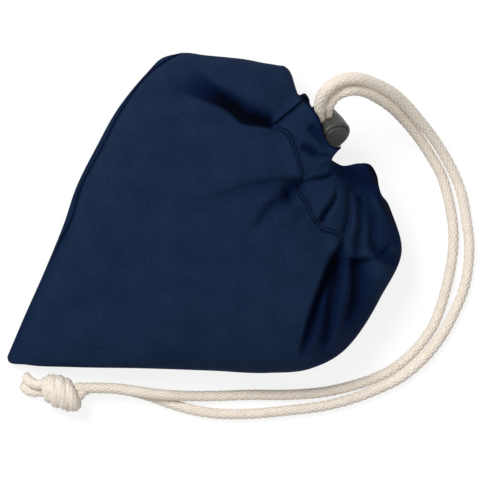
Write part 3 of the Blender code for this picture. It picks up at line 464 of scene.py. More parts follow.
def even_line(knots, step):
    """Points a step apart on a smooth curve through the knots, and the distance run so far."""
    knots = np.array(knots, float)
    lengths = np.linalg.norm(np.diff(knots[:, :3], axis=0), axis=1)
    places = np.concatenate([[0], np.cumsum(lengths**0.7)])
    fine = smooth(places, knots, np.linspace(0, places[-1], 6000))
    run = distance_run(fine[:, :3])
    wanted = np.linspace(0, run[-1], round(run[-1] / step) + 1)
    return np.column_stack([np.interp(wanted, run, column) for column in fine.T]), wanted


def finish_mesh(name, bm, material):
    mesh = bpy.data.meshes.new(name)
    bm.to_mesh(mesh)
    bm.free()
    mesh.materials.append(material)
    mesh.shade_smooth()
    obj = bpy.data.objects.new(name, mesh)
    bpy.context.scene.collection.objects.link(obj)
    return obj


def bent_grid(bm, places, uv, relief_and_shade):
    """A grid of quads with its corners at places[row][column], a UV map and a value at each corner:
    the braid's relief on cords, the painted shading on the cloth.
    """
    rows, columns = places.shape[:2]
    layer = bm.loops.layers.uv.verify()
    layers = bm.verts.layers.float
    mark = layers.get("relief_and_shade") or layers.new("relief_and_shade")
    made = bmesh.ops.create_grid(bm, x_segments=columns - 1, y_segments=rows - 1, size=1)
    spots = {}
    for vert in made["verts"]:
        i = round((vert.co.x + 1) / 2 * (columns - 1))
        j = round((vert.co.y + 1) / 2 * (rows - 1))
        spots[vert] = (j, i)
        vert[mark] = relief_and_shade[j, i]
        vert.co = places[j, i]
    for face in {face for vert in made["verts"] for face in vert.link_faces}:
        for loop in face.loops:
            j, i = spots[loop.vert]
            loop[layer].uv = uv[j, i]
    return made["verts"]


def cross_sections(line, closed):
    """Two directions across the line at each point, turning as little as they can."""
    ahead = np.gradient(line, axis=0)
    if closed:
        ahead = np.roll(line, -1, axis=0) - np.roll(line, 1, axis=0)
    ahead /= np.linalg.norm(ahead, axis=1)[:, None]
    side = np.cross(ahead[0], (0, 0, 1.0))
    if np.linalg.norm(side) < 0.1:
        side = np.cross(ahead[0], (0, 1.0, 0))
    sides = []
    for way in ahead:
        side = side - way * (side @ way)
        side = side / np.linalg.norm(side)
        sides.append(side)
    sides = np.array(sides)
    return sides, np.cross(ahead, sides)


def braid_relief(turn, run):
    """Height of the braid, from 0 in its gaps to 1, at a share of a turn and a distance."""
    first = BRAID_YARNS * turn + run / BRAID_CELL
    second = BRAID_YARNS * turn - run / BRAID_CELL
    over = (np.floor(first) + np.floor(second)) % 2 < 1
    across = np.where(over, first, second) % 1
    along = np.where(over, second, first) % 1
    return np.sin(math.pi * across) ** 0.7 * (0.3 + 0.7 * np.sin(math.pi * along) ** 0.6)


def add_braided_tube(bm, line, radius, run, closed=False, twist=0.0, squeeze=1.0):
    """A braided cord along the line. squeeze flattens it in its second direction across."""
    sides, ups = cross_sections(line, closed)
    turn = np.linspace(0, 1, TUBE_SIDES + 1)
    grid_turn, grid_run = np.meshgrid(turn, run)
    relief_and_shade = braid_relief(grid_turn + twist, grid_run)
    width = np.asarray(radius)[:, None] + (relief_and_shade - 0.62) * BRAID_DEPTH
    angle = 2 * math.pi * grid_turn
    places = line[:, None, :] + sides[:, None, :] * (width * np.cos(angle))[..., None]
    places = places + ups[:, None, :] * (squeeze * width * np.sin(angle))[..., None]
    uv = np.dstack([grid_turn, grid_run * 10])
    if closed:
        places[-1] = places[0]
    verts = bent_grid(bm, places, uv, relief_and_shade)
    bmesh.ops.remove_doubles(bm, verts=verts, dist=1e-7)
    if not closed:
        verts = [vert for vert in verts if vert.is_valid]
        ends = {e for vert in verts for e in vert.link_edges if e.is_boundary}
        bmesh.ops.holes_fill(bm, edges=list(ends), sides=0)


def strand_knots(side, throat, route, end_at):
    """Centre points and radius of one strand: throat, stopper, free arc, surface, knot."""
    pinch = (CORD_SQUEEZED + CORD_GAP) / 2 * side
    hole = STOPPER_DIAMETER / 2 + HOLE_FLARE
    throat, route = (
        [(*metres((*point, LYING_HEIGHT_MM)[:3]), CORD_DIAMETER / 2) for point in points]
        for points in (throat, route)
    )
    knots = throat
    for share in (-1, -0.4, 0.4, 1):
        point = STOPPER_AT + CORD_WAY * hole * share + STRAND_SIDE * pinch
        knots.append((*point, CORD_SQUEEZED / 2))
    knots += route
    knots.append((*end_at, CORD_DIAMETER / 2))
    return knots


def build_strand(name, knots, material, node, twist):
    line, run = even_line(knots, TUBE_STEP)
    line[:, 2] = np.maximum(line[:, 2], line[:, 3] + BRAID_CLEARANCE)
    height = np.clip((line[:, 2] - ARC_LOW) / (ARC_HIGH - ARC_LOW), 0, 1)
    line[:, 3] += ARC_FULLNESS * height * (run > ARC_START)
    bm = bmesh.new()
    add_braided_tube(bm, line[:, :3], line[:, 3], run, twist=twist)
    bmesh.ops.recalc_face_normals(bm, faces=bm.faces)
    strand = finish_mesh(name, bm, material)
    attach(strand, "bag")
    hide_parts(node)


# Knot
# Turns of the knot as closed rings: middle from the knot's own middle, half width, half height,
# lean in degrees, radius of the cord, and how flat it is pulled, millimetres.
KNOT_TURNS_MM = (
    ((-7, 1, 0), 3.6, 3.9, -13, 2.4, 0.95),
    ((-4, 0.6, 0.2), 5, 4.7, -16, 3, 0.86),
    ((-0.6, 0, 0.2), 5.4, 5, -19, 3.1, 0.85),
    ((2.9, -0.9, 0), 5.3, 4.8, -24, 2.9, 0.86),
)
# The part of the knot where the cord comes in and passes under the turns
KNOT_BRIDGE_MM = (
    (10.8, 1.6, -2.2), (8.5, 0.4, -0.8), (6.2, -2.2, 1),
    (4, -5.2, 1.2), (1, -6.6, 0),
)


def ring_points(middle, half_y, half_z, lean, count=90):
    """A closed ring round the X axis, leaning about Z by an angle in radians."""
    angle = np.linspace(0, 2 * math.pi, count + 1)
    across = half_y * np.cos(angle)
    ring = [across * math.sin(-lean), across * math.cos(lean), half_z * np.sin(angle)]
    return np.column_stack(ring) + np.array(middle)


def build_knot(material):
    bm = bmesh.new()
    for middle, half_y, half_z, lean, radius, flat in KNOT_TURNS_MM:
        centre = KNOT_AT + Vector(metres(middle))
        line = ring_points(centre, half_y * MM, half_z * MM, math.radians(-lean))
        run = distance_run(line)
        run = run / run[-1] * round(run[-1] / BRAID_CELL / 2) * BRAID_CELL * 2
        add_braided_tube(bm, line, np.full(len(line), radius * MM), run, closed=True, squeeze=flat)
    bridge = [
        (*(KNOT_AT + Vector(metres(point))), CORD_DIAMETER / 2) for point in KNOT_BRIDGE_MM
    ]
    line, run = even_line(bridge, TUBE_STEP)
    add_braided_tube(bm, line[:, :3], line[:, 3], run)
    bmesh.ops.recalc_face_normals(bm, faces=bm.faces)
    knot = finish_mesh("knot_turns", bm, material)
    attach(knot, "bag")
    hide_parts("cord_knot")

    bm = bmesh.new()
    for route in TAILS_MM:
        knots = [(*(KNOT_AT + Vector(metres(place))), radius * MM) for *place, radius in route]
        line, run = even_line(knots, TUBE_STEP)
        add_braided_tube(bm, line[:, :3], line[:, 3], run)
        fray_end(bm, line)
    bmesh.ops.recalc_face_normals(bm, faces=bm.faces)
    tails = finish_mesh("cord_ends", bm, material)
    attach(tails, "bag")
    return [knot, tails]


def fray_end(bm, line):
    """Loose yarns fanning out of the cut end of a cord."""
    random = np.random.default_rng(FRAY_SEED)
    end = Vector(line[-1, :3])
    way = (end - Vector(line[-6, :3])).normalized()
    radius = line[-1, 3]
    for _ in range(FRAYED_YARNS):
        aside = Vector(random.normal(0, 1, 3))
        aside = (aside - way * (aside @ way)).normalized()
        out = random.uniform(0.1, 0.85) * radius
        start = end + aside * out - way * YARN_ROOT
        lean = (way + aside * random.uniform(0.05, 0.5)).normalized()
        long = random.uniform(0.0011, 0.0021)
        turn = lean.to_track_quat("Z", "X").to_matrix().to_4x4()
        matrix = Matrix.Translation(start + lean * long / 2) @ turn
        bmesh.ops.create_cone(
            bm, cap_ends=True, segments=5, radius1=YARN_RADIUS, radius2=YARN_TIP, depth=long,
            matrix=matrix,
        )


# Cloth
def cage_plan(across, along):
    """X and Y of the cloth in metres, one row for each place along and one column across."""
    rows = [smooth(places, points, across) for _, places, *points in ROWS_MM]
    return smooth([row[0] for row in ROWS_MM], np.array(rows), along) * MM


def cage_heights(across, along):
    """Height of the sides, rise of the upper cloth and drop of the lower one, in metres."""
    places = [row[0] for row in HEIGHTS_MM]
    found = []
    for column in (1, 2, 3):
        curves = [row[column] for row in HEIGHTS_MM]
        rows = [smooth(np.linspace(0, 1, len(curve)), curve, across) for curve in curves]
        found.append(smooth(places, np.array(rows), along) * MM)
    return found


def beside(plan, route):
    """Distance to the left of a route (less than 0 on its right), strength there, and end fade."""
    table = np.array([(*point, 1)[:3] for point in route], float)
    spots = np.linspace(0, len(table) - 1, 8 * (len(table) - 1) + 1)
    line = smooth(np.arange(len(table)), table, spots)
    x = plan[..., 0] / MM
    y = plan[..., 1] / MM
    found = [np.full(x.shape, np.inf)] * 4
    last = len(line) - 2
    for count, (start, end) in enumerate(zip(line[:-1], line[1:])):
        way = end - start
        long = np.hypot(way[0], way[1])
        from_x = x - start[0]
        from_y = y - start[1]
        free = (from_x * way[0] + from_y * way[1]) / long**2
        share = np.clip(free, 0, 1)
        away = np.hypot(from_x - share * way[0], from_y - share * way[1])
        on_right = way[0] * from_y - way[1] * from_x < 0
        before = np.maximum(-free, 0) * long if count == 0 else 0
        after = np.maximum(free - 1, 0) * long if count == last else 0
        here = (away, np.where(on_right, -away, away), start[2] + share * way[2], before + after)
        closer = away < found[0]
        found = [np.where(closer, new, old) for new, old in zip(here, found)]
    _, side, strength, past = found
    return side, np.clip(strength, 0, 1) * np.exp(-((past / ROUTE_END_MM) ** 2))


def fold_lift(plan):
    """Height that the folds add at each point of the plan, in metres."""
    lift = np.zeros(plan.shape[:2])
    for _, left, right, left_width, right_width, change, *route in FOLDS_MM:
        side, strength = beside(plan, route)
        share = 0.5 + 0.5 * np.tanh(side / change)
        on_left = left * np.exp(-((side / left_width) ** 2))
        on_right = right * np.exp(-((side / right_width) ** 2))
        lift += strength * (share * on_left + (1 - share) * on_right)
    return lift * MM


def painted_fold_shade(plan):
    """How deep the painted shade on the cloth is at each point of the plan, from 0 to 1."""
    light = np.ones(plan.shape[:2])
    for _, depth, left_width, right_width, *route in PAINTED_SHADES_MM:
        side, strength = beside(plan, route)
        share = np.abs(side) / np.where(side > 0, left_width, right_width)
        light *= 1 - depth * strength * np.exp(-(share**3))
    return 1 - light


def unevenness(x, y, size, count, seed):
    """Soft random swells about the given size across, of height about one."""
    random = np.random.default_rng(seed)
    total = np.zeros(x.shape)
    for _ in range(count):
        angle = random.uniform(0, math.pi)
        wave = size * random.uniform(0.7, 1.6)
        along = x * math.cos(angle) + y * math.sin(angle)
        total += np.sin(2 * math.pi * along / wave + random.uniform(0, 2 * math.pi))
    return total / math.sqrt(count)


def hem_row(across):
    return np.full(across.shape, HEM_ROW)


def seam_row(across):
    """The side seam's inner line: close to the edge at the near end, wider further up."""
    return 0.0085 + 0.0095 * np.clip((across - 0.33) / 0.08, 0, 1)


def row_distance(plan, along, rows):
    """Distance over the cloth from a line across it, in metres, less than 0 towards the seam."""
    run = distance_run(plan)
    at = np.array([np.interp(row, along, column) for row, column in zip(rows, run.T)])
    return run - at[None, :]


def groove(distance, width):
    return np.exp(-((distance / width) ** 2))


def stitch_lift(hem, seam, hem_share=1, seam_share=1):
    """Height that the sewn rows add: a doubled hem with two rows, and the side seam."""
    lift = -0.00085 * groove(hem - STITCH_SPREAD, 0.00036)
    lift -= 0.00095 * groove(hem + STITCH_SPREAD, 0.00038)
    lift += 0.00045 * groove(hem, 0.0004) + 0.00040 * groove(hem - 0.0017, 0.0005)
    lift += 0.00035 * (0.5 + 0.5 * np.tanh((hem + 0.0011) / 0.0003))
    return lift * hem_share - 0.00090 * groove(seam, 0.0005) * seam_share


def distance_from(places, first):
    """Distance over the cloth down each column of a grid from one of its rows, in metres."""
    run = distance_run(places)
    return run - run[first]


def bunched_columns(count, share):
    """Places across the cloth from 0 to 1, closer together towards both edges."""
    turn = np.linspace(0, 1, count + 1)
    return turn - share * np.sin(2 * math.pi * turn) / (2 * math.pi)


def cloth_side(across, along):
    """Plan, heights, swell from edge to middle, seam thickness and fade of the folds there."""
    swell = np.sqrt(np.clip(4 * across * (1 - across), 0, 1))
    edge = np.sqrt(np.clip(along / SEAM_ROUNDING, 0, 1))[:, None]
    thick = 0.5 * SEAM_THICKNESS * np.clip(swell / EDGE_THICKENS, 0, 1) * edge
    fade = np.clip(swell / FOLDS_FROM_EDGE, 0, 1)
    return cage_plan(across, along), *cage_heights(across, along), swell, thick, fade


def add_lining(upper_rows, lower_rows, across, along, top, low):
    """Rows of the lining, kept under the outer cloth, from the rim to the closed throat."""
    for depth, inset, narrow in THROAT_ROWS:
        top_here = np.minimum(top[-1], [np.interp(depth, along, column) for column in top.T])
        low_here = np.maximum(low[-1], [np.interp(depth, along, column) for column in low.T])
        for columns, rows, way in ((across[0], upper_rows, 1), (across[1], lower_rows, -1)):
            inner = columns + inset * (LINING_START + LINING_WIDTH * columns - columns)
            row_plan = cage_plan(inner, np.array([min(depth, 1.0)]))[0]
            if depth > 1:
                ahead = row_plan - cage_plan(inner, np.array([RIM_BACK]))[0]
                ahead /= np.linalg.norm(ahead, axis=1)[:, None]
                row_plan = row_plan + ahead * (depth - 1) * RIM_ROLL
            above = np.interp(inner, across[0], top_here)
            below = np.interp(inner, across[1], low_here)
            half = ((above - below) / 2 - HEM_THICKNESS * inset) * (1 - narrow)
            height = (above + below) / 2 + way * np.maximum(half, 0)
            rows.append(np.column_stack([row_plan, height]))


def cloth_places():
    """Corners of the cloth, row by row from the seam over the rim into the throat."""
    across = upper_across, lower_across = [
        bunched_columns(count, share)
        for count, share in zip((UPPER_COLUMNS, LOWER_COLUMNS), COLUMN_BUNCHING)
    ]
    along = np.concatenate([
        np.linspace(start, end, count, endpoint=end == 1) for start, end, count in ALONG_ROWS
    ])
    ease = np.clip(along / FOLDS_FROM_SEAM, 0, 1)[:, None]

    plan, middle, rise, _, swell, thick, fade = cloth_side(upper_across, along)
    top = middle + thick + rise * swell**TOP_BULGE
    flat_top = top
    lift = fold_lift(plan) * ease * fade
    x, y = plan[..., 0], plan[..., 1]
    swells = 0.00035 * unevenness(x, y, 0.03, 9, 4) + 0.00014 * unevenness(x, y, 0.011, 11, 7)
    top = top + lift + swells * ease * fade
    hem = row_distance(plan, along, hem_row(upper_across))
    seam = row_distance(plan, along, seam_row(upper_across))
    top_sewn = np.clip((HEM_SEEN_TO - upper_across) / 0.02, 0, 1)
    top_sewn = top_sewn * (0.2 + 0.8 * np.clip((upper_across - 0.2) / 0.04, 0, 1))
    seam_sewn = np.clip((upper_across - 0.25) / 0.1, 0.15, 1)
    top = top + stitch_lift(hem, seam, top_sewn, seam_sewn) * fade
    upper = np.dstack([plan, top])
    smooth_upper = np.dstack([plan, flat_top])
    # Painted shading of the cloth, 0.5 where it is flat: lower for painted shade in the valleys of
    # the folds and under the painted shades
    painted_shading = np.clip(0.5 + lift / FOLD_SHADE_SPAN, 0, 1)
    painted_shading = painted_shading * (1 - painted_fold_shade(plan) * np.clip(swell / SHADES_FROM_EDGE, 0, 1))
    # Painted shade in the grooves of the hem's two rows and along the side seam
    hem_groove_shade = groove(hem - STITCH_SPREAD, 0.0004) + groove(hem + STITCH_SPREAD, 0.0004)
    painted_shading = painted_shading * (1 - 0.6 * np.clip(hem_groove_shade, 0, 1) * top_sewn)
    painted_shading = painted_shading * (1 - 0.7 * groove(seam, 0.0006) * seam_sewn)

    plan, middle, _, drop, swell, thick, fade = cloth_side(lower_across, along)
    low = middle - thick - drop * swell**UNDER_BULGE
    smooth_lower = np.dstack([plan, low])
    gather = np.clip((along - GATHER_FROM) / (GATHER_FULL - GATHER_FROM), 0, 1)[:, None]
    waves = np.sin(2 * math.pi * (GATHER_WAVES * lower_across + 0.35 * np.sin(9 * lower_across)))
    low = low - GATHER_DEPTH * gather * waves * fade
    x, y = plan[..., 0], plan[..., 1]
    low = low - 0.0004 * unevenness(x, y, 0.03, 9, 12) * ease * fade
    hem_low = row_distance(plan, along, hem_row(lower_across))
    seam_low = row_distance(plan, along, seam_row(lower_across))
    low = low - stitch_lift(hem_low, seam_low) * fade
    roof = np.array([np.interp(lower_across, upper_across, row) for row in top])
    room = CLOTH_ROOM * np.clip(swell / EDGE_THICKENS, 0, 1) * ease
    low = np.minimum(low, roof - room)
    low = np.maximum(low, 0.0)
    lower = np.dstack([plan, low])

    upper_rows, lower_rows = list(upper), list(lower)
    add_lining(upper_rows, lower_rows, across, along, top, low)
    more = len(upper_rows) - len(along)
    base = []
    for rows, start in ((upper_rows, smooth_upper), (lower_rows, smooth_lower)):
        base.append(np.concatenate([start, np.array(rows[len(along):])]))
    # The roll of the rim and the lining in the throat are painted in deep shade
    inner = np.linspace(0.02, 0.1, more)[:, None] * np.ones((more, UPPER_COLUMNS + 1))
    painted_shading = np.concatenate([painted_shading, inner])
    return along, across, np.array(upper_rows), np.array(lower_rows), base, painted_shading


def build_pouch(material):
    along, across, upper, lower, base, painted_shading = cloth_places()
    places = np.concatenate([upper, lower[:, ::-1][:, 1:]], axis=1)
    even = np.concatenate([base[0], base[1][:, ::-1][:, 1:]], axis=1)
    sideways = distance_from(even.swapaxes(0, 1), UPPER_COLUMNS // 2).T
    uv = np.dstack([sideways, distance_from(even, len(along) // 3)])
    # The lower cloth takes the painted shading of the upper cloth's far edge, row by row
    under = np.repeat(painted_shading[:, -1:], lower.shape[1] - 1, axis=1)
    bm = bmesh.new()
    bent_grid(bm, places, uv, np.concatenate([painted_shading, under], axis=1))
    bmesh.ops.remove_doubles(bm, verts=bm.verts, dist=1e-6)
    bmesh.ops.recalc_face_normals(bm, faces=bm.faces)
    pouch = finish_mesh("pouch_cloth", bm, material)
    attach(pouch, "bag")
    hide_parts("pouch")
    return along, across, upper, lower


def row_line(cloth, row_at, shift, level):
    """A line over the cloth all round it, moved along the cloth by shift."""
    along, across, upper, lower = cloth
    count = len(along)
    found = []
    for places, columns, way in ((upper[:count], across[0], 1), (lower[:count], across[1], -1)):
        distance = row_distance(places[..., :2], along, row_at(columns))
        line = []
        for i in range(places.shape[1]):
            line.append([np.interp(shift, distance[:, i], places[:, i, k]) for k in range(3)])
        line = np.array(line)
        line[:, 2] += way * level
        found.append(line)
    return found


def place_stitches(bm, line, gap, thick):
    """Long thin beads of thread end to end along a line."""
    run = distance_run(line)
    at = 0.0
    while at + STITCH_LENGTH < run[-1]:
        ends = [
            np.array([np.interp(spot, run, line[:, k]) for k in range(3)])
            for spot in (at, at + STITCH_LENGTH)
        ]
        way = Vector(ends[1] - ends[0])
        turn = way.to_track_quat("X", "Z").to_matrix().to_4x4()
        size = Matrix.Diagonal((way.length * STITCH_OVERLAP, thick, thick, 1))
        matrix = Matrix.Translation((ends[0] + ends[1]) / 2) @ turn @ size
        bmesh.ops.create_icosphere(bm, subdivisions=1, radius=0.5, matrix=matrix)
        at += STITCH_LENGTH + gap


def build_stitching(cloth, material):
    bm = bmesh.new()
    for shift in (-STITCH_SPREAD, STITCH_SPREAD):
        above, below = row_line(cloth, hem_row, shift, -HEM_STITCH_SINK)
        first, last = (round(share * len(above)) for share in HEM_COLUMNS_SEEN)
        for line in (above[first:last], below[6:-6]):
            place_stitches(bm, line, HEM_STITCH_GAP, HEM_THREAD)
    hem = finish_mesh("hem_stitching", bm, material)
    bm = bmesh.new()
    for line in row_line(cloth, seam_row, 0.0, -SEAM_STITCH_SINK):
        place_stitches(bm, line[4:-4], SEAM_STITCH_GAP, SEAM_THREAD)
    seam = finish_mesh("seam_stitching", bm, material)
    for obj in (hem, seam):
        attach(obj, "bag")


# Materials
# Colours of the dyed cloth in its darker and lighter patches, and of the painted shade in its folds
# and deepest in them
CLOTH_DARK = (0.0080, 0.0222, 0.0602)
CLOTH_LIGHT = (0.0132, 0.0305, 0.0778)
CLOTH_FOLD_SHADE = (0.0014, 0.0068, 0.0310)
CLOTH_DEEPEST_SHADE = (0.0003, 0.0010, 0.0050)
# Painted shading values of flat cloth and of cloth where the painted fold shade is full, below
# which it deepens further
UNSHADED_VALUE = 0.5
DEEPEST_SHADE_BELOW = 0.14
# Darker and lighter patches of the other materials, and the painted shade of the cord in the gaps
# between its yarns
THREAD_DARK = (0.008, 0.021, 0.056)
THREAD_LIGHT = (0.013, 0.029, 0.072)
CORD_DARK = (0.87, 0.775, 0.66)
CORD_LIGHT = (0.94, 0.855, 0.755)
CORD_GAP_SHADE = (0.52, 0.40, 0.28)
STEEL_DARK = (0.45, 0.45, 0.47)
STEEL_LIGHT = (0.6, 0.6, 0.61)
BODY_DARK = (0.032, 0.030, 0.027)
BODY_LIGHT = (0.049, 0.046, 0.041)
# The button's dark plastic, made a little darker and redder than the body's as painted shade on its
# end face
BUTTON_SHADED_DARK = (0.032, 0.028, 0.028)
BUTTON_SHADED_LIGHT = (0.046, 0.041, 0.040)


def put(tree, socket, value):
    if isinstance(value, bpy.types.NodeSocket):
        tree.links.new(value, socket)
    else:
        socket.default_value = value


def add(tree, kind, inputs=None, **settings):
    """A new node, with its settings, and with values set or outputs linked to its inputs."""
    node = tree.nodes.new(kind)
    for name, value in settings.items():
        setattr(node, name, value)
    for name, value in (inputs or {}).items():
        put(tree, node.inputs[name], value)
    return node


def maths(tree, operation, *values):
    inputs = dict(enumerate(values))
    return add(tree, "ShaderNodeMath", inputs, operation=operation).outputs[0]


def vectors(tree, operation, first, second):
    inputs = {0: first, "Scale" if operation == "SCALE" else 1: second}
    return add(tree, "ShaderNodeVectorMath", inputs, operation=operation).outputs[0]


def noise(tree, where, scale, detail):
    inputs = {"Vector": where, "Scale": scale, "Detail": detail}
    return add(tree, "ShaderNodeTexNoise", inputs).outputs


def map_range(tree, value, low=0.0, high=1.0, to_low=0.0, to_high=1.0):
    inputs = {"Value": value, "From Min": low, "From Max": high}
    inputs.update({"To Min": to_low, "To Max": to_high})
    return add(tree, "ShaderNodeMapRange", inputs).outputs[0]


def mix(tree, share, first, second, blend="MIX"):
    """A colour from the first to the second, each given as a colour or as an output."""
    first, second = ((*c, 1) if isinstance(c, tuple) else c for c in (first, second))
    inputs = {"Factor": share, 6: first, 7: second}
    return add(tree, "ShaderNodeMix", inputs, data_type="RGBA", blend_type=blend).outputs[2]


def bump(tree, height, strength, distance):
    inputs = {"Height": height, "Strength": strength, "Distance": distance}
    return add(tree, "ShaderNodeBump", inputs).outputs[0]


def new_group(name, number, value, output):
    """A node group that takes a place and a number and puts out one value."""
    group = bpy.data.node_groups.new(name, "ShaderNodeTree")
    sockets = group.interface
    sockets.new_socket("Vector", in_out="INPUT", socket_type="NodeSocketVector")
    given = sockets.new_socket(number, in_out="INPUT", socket_type="NodeSocketFloat")
    given.default_value = value
    sockets.new_socket(output, in_out="OUTPUT", socket_type="NodeSocketFloat")
    start = group.nodes.new("NodeGroupInput")
    end = group.nodes.new("NodeGroupOutput")
    return group, start.outputs["Vector"], start.outputs[number], end.inputs[output]


def weave_group():
    """Plain weave: threads one over and one under, from a map of the cloth in metres."""
    group, where, threads, height = new_group(
        "plain_weave", "Threads per metre", 3000.0, "Height")
    slub = noise(group, where, 260.0, 2.0)["Color"]
    shift = vectors(group, "SCALE", vectors(group, "SUBTRACT", slub, (0.5, 0.5, 0.5)), 0.0005)
    scaled = vectors(group, "SCALE", vectors(group, "ADD", where, shift), threads)
    u, v = add(group, "ShaderNodeSeparateXYZ", {0: scaled}).outputs[:2]
    warp, weft = (
        maths(group, "ABSOLUTE", maths(group, "SINE", maths(group, "MULTIPLY", way, math.pi)))
        for way in (u, v)
    )
    count = maths(group, "ADD", maths(group, "FLOOR", u), maths(group, "FLOOR", v))
    odd = maths(group, "FLOORED_MODULO", count, 2.0)
    over, under = (
        maths(group, "MULTIPLY", first, maths(group, "MULTIPLY_ADD", second, 0.5, 0.5))
        for first, second in ((warp, weft), (weft, warp))
    )
    crossing = add(
        group, "ShaderNodeMix", {"Factor": odd, 2: over, 3: under}, data_type="FLOAT")
    put(group, height, crossing.outputs[0])
    return group


def mottle_group():
    """Soft blotches and fine specks from 0 to 1, on object coordinates."""
    group, where, scale, mask = new_group("mottle", "Scale", 100.0, "Mask")
    broad = noise(group, where, scale, 4.0)[0]
    fine = noise(group, where, maths(group, "MULTIPLY", scale, 9.0), 2.0)[0]
    broad_share = maths(group, "MULTIPLY", broad, 0.6)
    both = maths(group, "ADD", broad_share, maths(group, "MULTIPLY", fine, 0.4))
    put(group, mask, map_range(group, both, 0.36, 0.64))
    return group


def new_material(name):
    material = bpy.data.materials.new(name)
    material.use_nodes = True
    tree = material.node_tree
    return material, tree, tree.nodes["Principled BSDF"]


def set_inputs(tree, node, values):
    for name, value in values.items():
        put(tree, node.inputs[name], value)


def blotches(tree, mottle, scale):
    """Object coordinates, and a mask of blotches on them."""
    where = add(tree, "ShaderNodeTexCoord").outputs["Object"]
    inputs = {"Vector": where, "Scale": scale}
    return where, add(tree, "ShaderNodeGroup", inputs, node_tree=mottle).outputs[0]


def relief_and_shade_value(tree):
    return add(tree, "ShaderNodeAttribute", attribute_name="relief_and_shade").outputs["Fac"]


def cloth_material(weave, mottle):
    material, tree, shader = new_material("navy_cotton_cloth")
    uv = add(tree, "ShaderNodeUVMap").outputs[0]
    woven = add(tree, "ShaderNodeGroup", {"Vector": uv}, node_tree=weave).outputs[0]
    _, spots = blotches(tree, mottle, 90.0)
    tone = mix(tree, spots, CLOTH_DARK, CLOTH_LIGHT)
    yarn = maths(tree, "MULTIPLY_ADD", noise(tree, uv, 1500.0, 2.0)[0], 0.9, 0.10)
    deep = maths(tree, "MULTIPLY_ADD", woven, 0.35, yarn)
    # The tone darkened in the hollows of the weave as painted shade, and by yarns of uneven tone
    tone_with_weave_shade = mix(tree, 1.0, tone, deep, "MULTIPLY")
    # Painted shade in the folds and under the painted shades, from the cloth's painted shading
    # value: the fold shade colour, and deepest near black
    painted_shading_value = relief_and_shade_value(tree)
    fold_shade_share = map_range(tree, painted_shading_value, DEEPEST_SHADE_BELOW, UNSHADED_VALUE, 1.0, 0.0)
    fold_shaded_tone = mix(tree, fold_shade_share, tone_with_weave_shade, CLOTH_FOLD_SHADE)
    deepest_shade_share = map_range(tree, painted_shading_value, 0.0, DEEPEST_SHADE_BELOW, 1.0, 0.0)
    set_inputs(tree, shader, {
        "Base Color": mix(tree, deepest_shade_share, fold_shaded_tone, CLOTH_DEEPEST_SHADE),
        "Normal": bump(tree, deep, 0.35, 0.00018),
        "Roughness": 0.9,
        "Specular IOR Level": 0.06,
        "Sheen Weight": 0.005,
        "Sheen Roughness": 0.4,
        "Sheen Tint": (0.35, 0.5, 0.85, 1),
    })
    return material


def blotched_material(name, mottle, scale, dark, light, roughness, metallic=0.0):
    material, tree, shader = new_material(name)
    tone = mix(tree, blotches(tree, mottle, scale)[1], dark, light)
    set_inputs(
        tree, shader, {"Base Color": tone, "Roughness": roughness, "Metallic": metallic})
    return material


def cord_material(mottle):
    material, tree, shader = new_material("natural_braided_cotton")
    where, spots = blotches(tree, mottle, 260.0)
    tone = mix(tree, spots, CORD_DARK, CORD_LIGHT)
    # Painted shade in the gaps between the braid's yarns, in scattered patches
    gap = map_range(tree, relief_and_shade_value(tree), 0.05, 0.5)
    some = map_range(tree, noise(tree, where, 520.0, 1.0)[0], 0.5, 0.6, 0.12, 1.0)
    shade = maths(tree, "MULTIPLY", maths(tree, "SUBTRACT", 1.0, gap), some)
    set_inputs(tree, shader, {
        "Base Color": mix(tree, shade, tone, CORD_GAP_SHADE),
        "Normal": bump(tree, noise(tree, where, 3800.0, 3.0)[0], 0.5, 0.0002),
        "Roughness": 0.95,
        "Specular IOR Level": 0.2,
        "Sheen Weight": 0.35,
        "Sheen Roughness": 0.5,
    })
    return material


def plastic_material(name, dark, light, roughness, mottle):
    material, tree, shader = new_material(name)
    where, spots = blotches(tree, mottle, 300.0)
    rough = map_range(tree, spots, to_low=roughness - 0.05, to_high=roughness + 0.08)
    set_inputs(tree, shader, {
        "Base Color": mix(tree, spots, dark, light),
        "Normal": bump(tree, noise(tree, where, 5200.0, 2.0)[0], 0.3, 0.0001),
        "Roughness": rough,
    })
    return material


def build_spring(material):
    """The stopper's wire spring, a copy of the part's mesh."""
    bm = bmesh.new()
    bm.from_mesh(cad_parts["stopper_spring"].data)
    bmesh.ops.remove_doubles(bm, verts=bm.verts, dist=1e-6)
    bmesh.ops.recalc_face_normals(bm, faces=bm.faces)
    spring = finish_mesh("spring_wire", bm, material)
    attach(spring, "bag")
    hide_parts("stopper_spring")
    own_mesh(spring)


def dress_nodes(pairs):
    for name, material in pairs:
        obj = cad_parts[name]
        if not obj.data.materials:
            obj.data.materials.append(material)
        for slot in obj.material_slots:
            slot.link = "OBJECT"
            slot.material = material


# Studio
WORLD_LIGHT = 0.34
KEY_LIGHT = 0.56
FILL_LIGHT = 0.10
FLOOR_LIT = (0.8, 0.8, 0.8)
FLOOR_SEEN = (0.22, 0.22, 0.22)
FLOOR_GLOW = 0.82


def seen_directly(tree):
    """1 for rays that show the white backdrop: from the camera, in gloss and through glass."""
    path = add(tree, "ShaderNodeLightPath").outputs
    both = maths(tree, "MAXIMUM", path["Is Camera Ray"], path["Is Glossy Ray"])
    return maths(tree, "MAXIMUM", both, path["Is Transmission Ray"])


def add_sun(name, towards, share, spread):
    """A soft lamp that gives a level white surface that share of full white."""
    way = Vector(towards).normalized()
    data = bpy.data.lights.new(name, "SUN")
    data.energy = math.pi * share / way.z
    data.angle = math.radians(spread)
    obj = bpy.data.objects.new(name, data)
    obj.rotation_euler = way.to_track_quat("Z", "Y").to_euler()
    bpy.context.scene.collection.objects.link(obj)


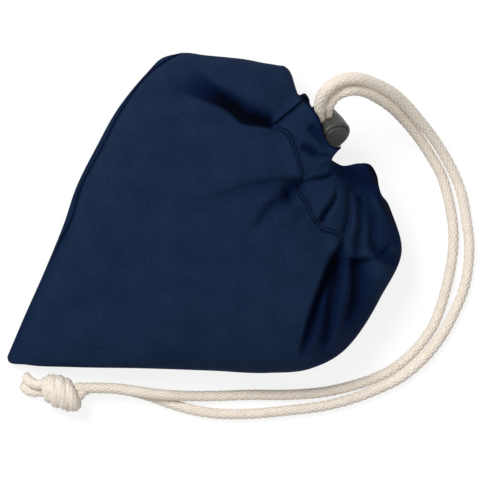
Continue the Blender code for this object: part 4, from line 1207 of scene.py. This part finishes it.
def set_studio():
    world = bpy.data.worlds.new("studio")
    bpy.context.scene.world = world
    world.use_nodes = True
    tree = world.node_tree
    ground = tree.nodes["Background"]
    ground.inputs["Color"].default_value = (1, 1, 1, 1)
    strength = map_range(tree, seen_directly(tree), to_low=WORLD_LIGHT)
    put(tree, ground.inputs["Strength"], strength)
    add_sun("key_softbox", (-0.42, 0.52, 0.92), KEY_LIGHT, 26)
    add_sun("fill_softbox", (0.1, -0.3, 0.9), FILL_LIGHT, 70)

    bm = bmesh.new()
    bmesh.ops.create_grid(bm, x_segments=1, y_segments=1, size=6)
    material, tree, shader = new_material("studio_floor")
    direct = seen_directly(tree)
    set_inputs(tree, shader, {
        "Base Color": mix(tree, direct, FLOOR_LIT, FLOOR_SEEN),
        "Roughness": 1.0,
        "Specular IOR Level": 0.0,
        "Emission Color": (1, 1, 1, 1),
        "Emission Strength": maths(tree, "MULTIPLY", direct, FLOOR_GLOW),
    })
    floor = finish_mesh("studio_floor", bm, material)
    bpy.context.scene.view_settings.view_transform = "Standard"


def main():
    set_camera()
    weave = weave_group()
    mottle = mottle_group()
    cord = cord_material(mottle)
    knot_pieces = build_knot(cord)
    outer_end = KNOT_AT + Vector(OUTER_END)
    inner_end = KNOT_AT + Vector(INNER_END)
    outer = strand_knots(1, OUTER_THROAT_MM, OUTER_ROUTE_MM, outer_end)
    inner = strand_knots(-1, INNER_THROAT_MM, INNER_ROUTE_MM, inner_end)
    build_strand("cord_outer", outer, cord, "cord_strand_outer", 0.0)
    build_strand("cord_inner", inner, cord, "cord_strand_inner", 0.03)

    cloth = cloth_material(weave, mottle)
    places = build_pouch(cloth)
    thread = blotched_material(
        "navy_sewing_thread", mottle, 600.0, THREAD_DARK, THREAD_LIGHT, 0.6)
    build_stitching(places, thread)
    body = plastic_material("dark_moulded_plastic", BODY_DARK, BODY_LIGHT, 0.42, mottle)
    # The button's plastic carries painted shade on top of its dark colour
    button = plastic_material("button_plastic_painted_shade", BUTTON_SHADED_DARK, BUTTON_SHADED_LIGHT, 0.46, mottle)
    dress_nodes((("stopper_body", body), ("stopper_plunger", button)))
    steel = blotched_material("drawn_spring_wire", mottle, 900.0, STEEL_DARK, STEEL_LIGHT, 0.3, 1.0)
    build_spring(steel)
    set_studio()


main()
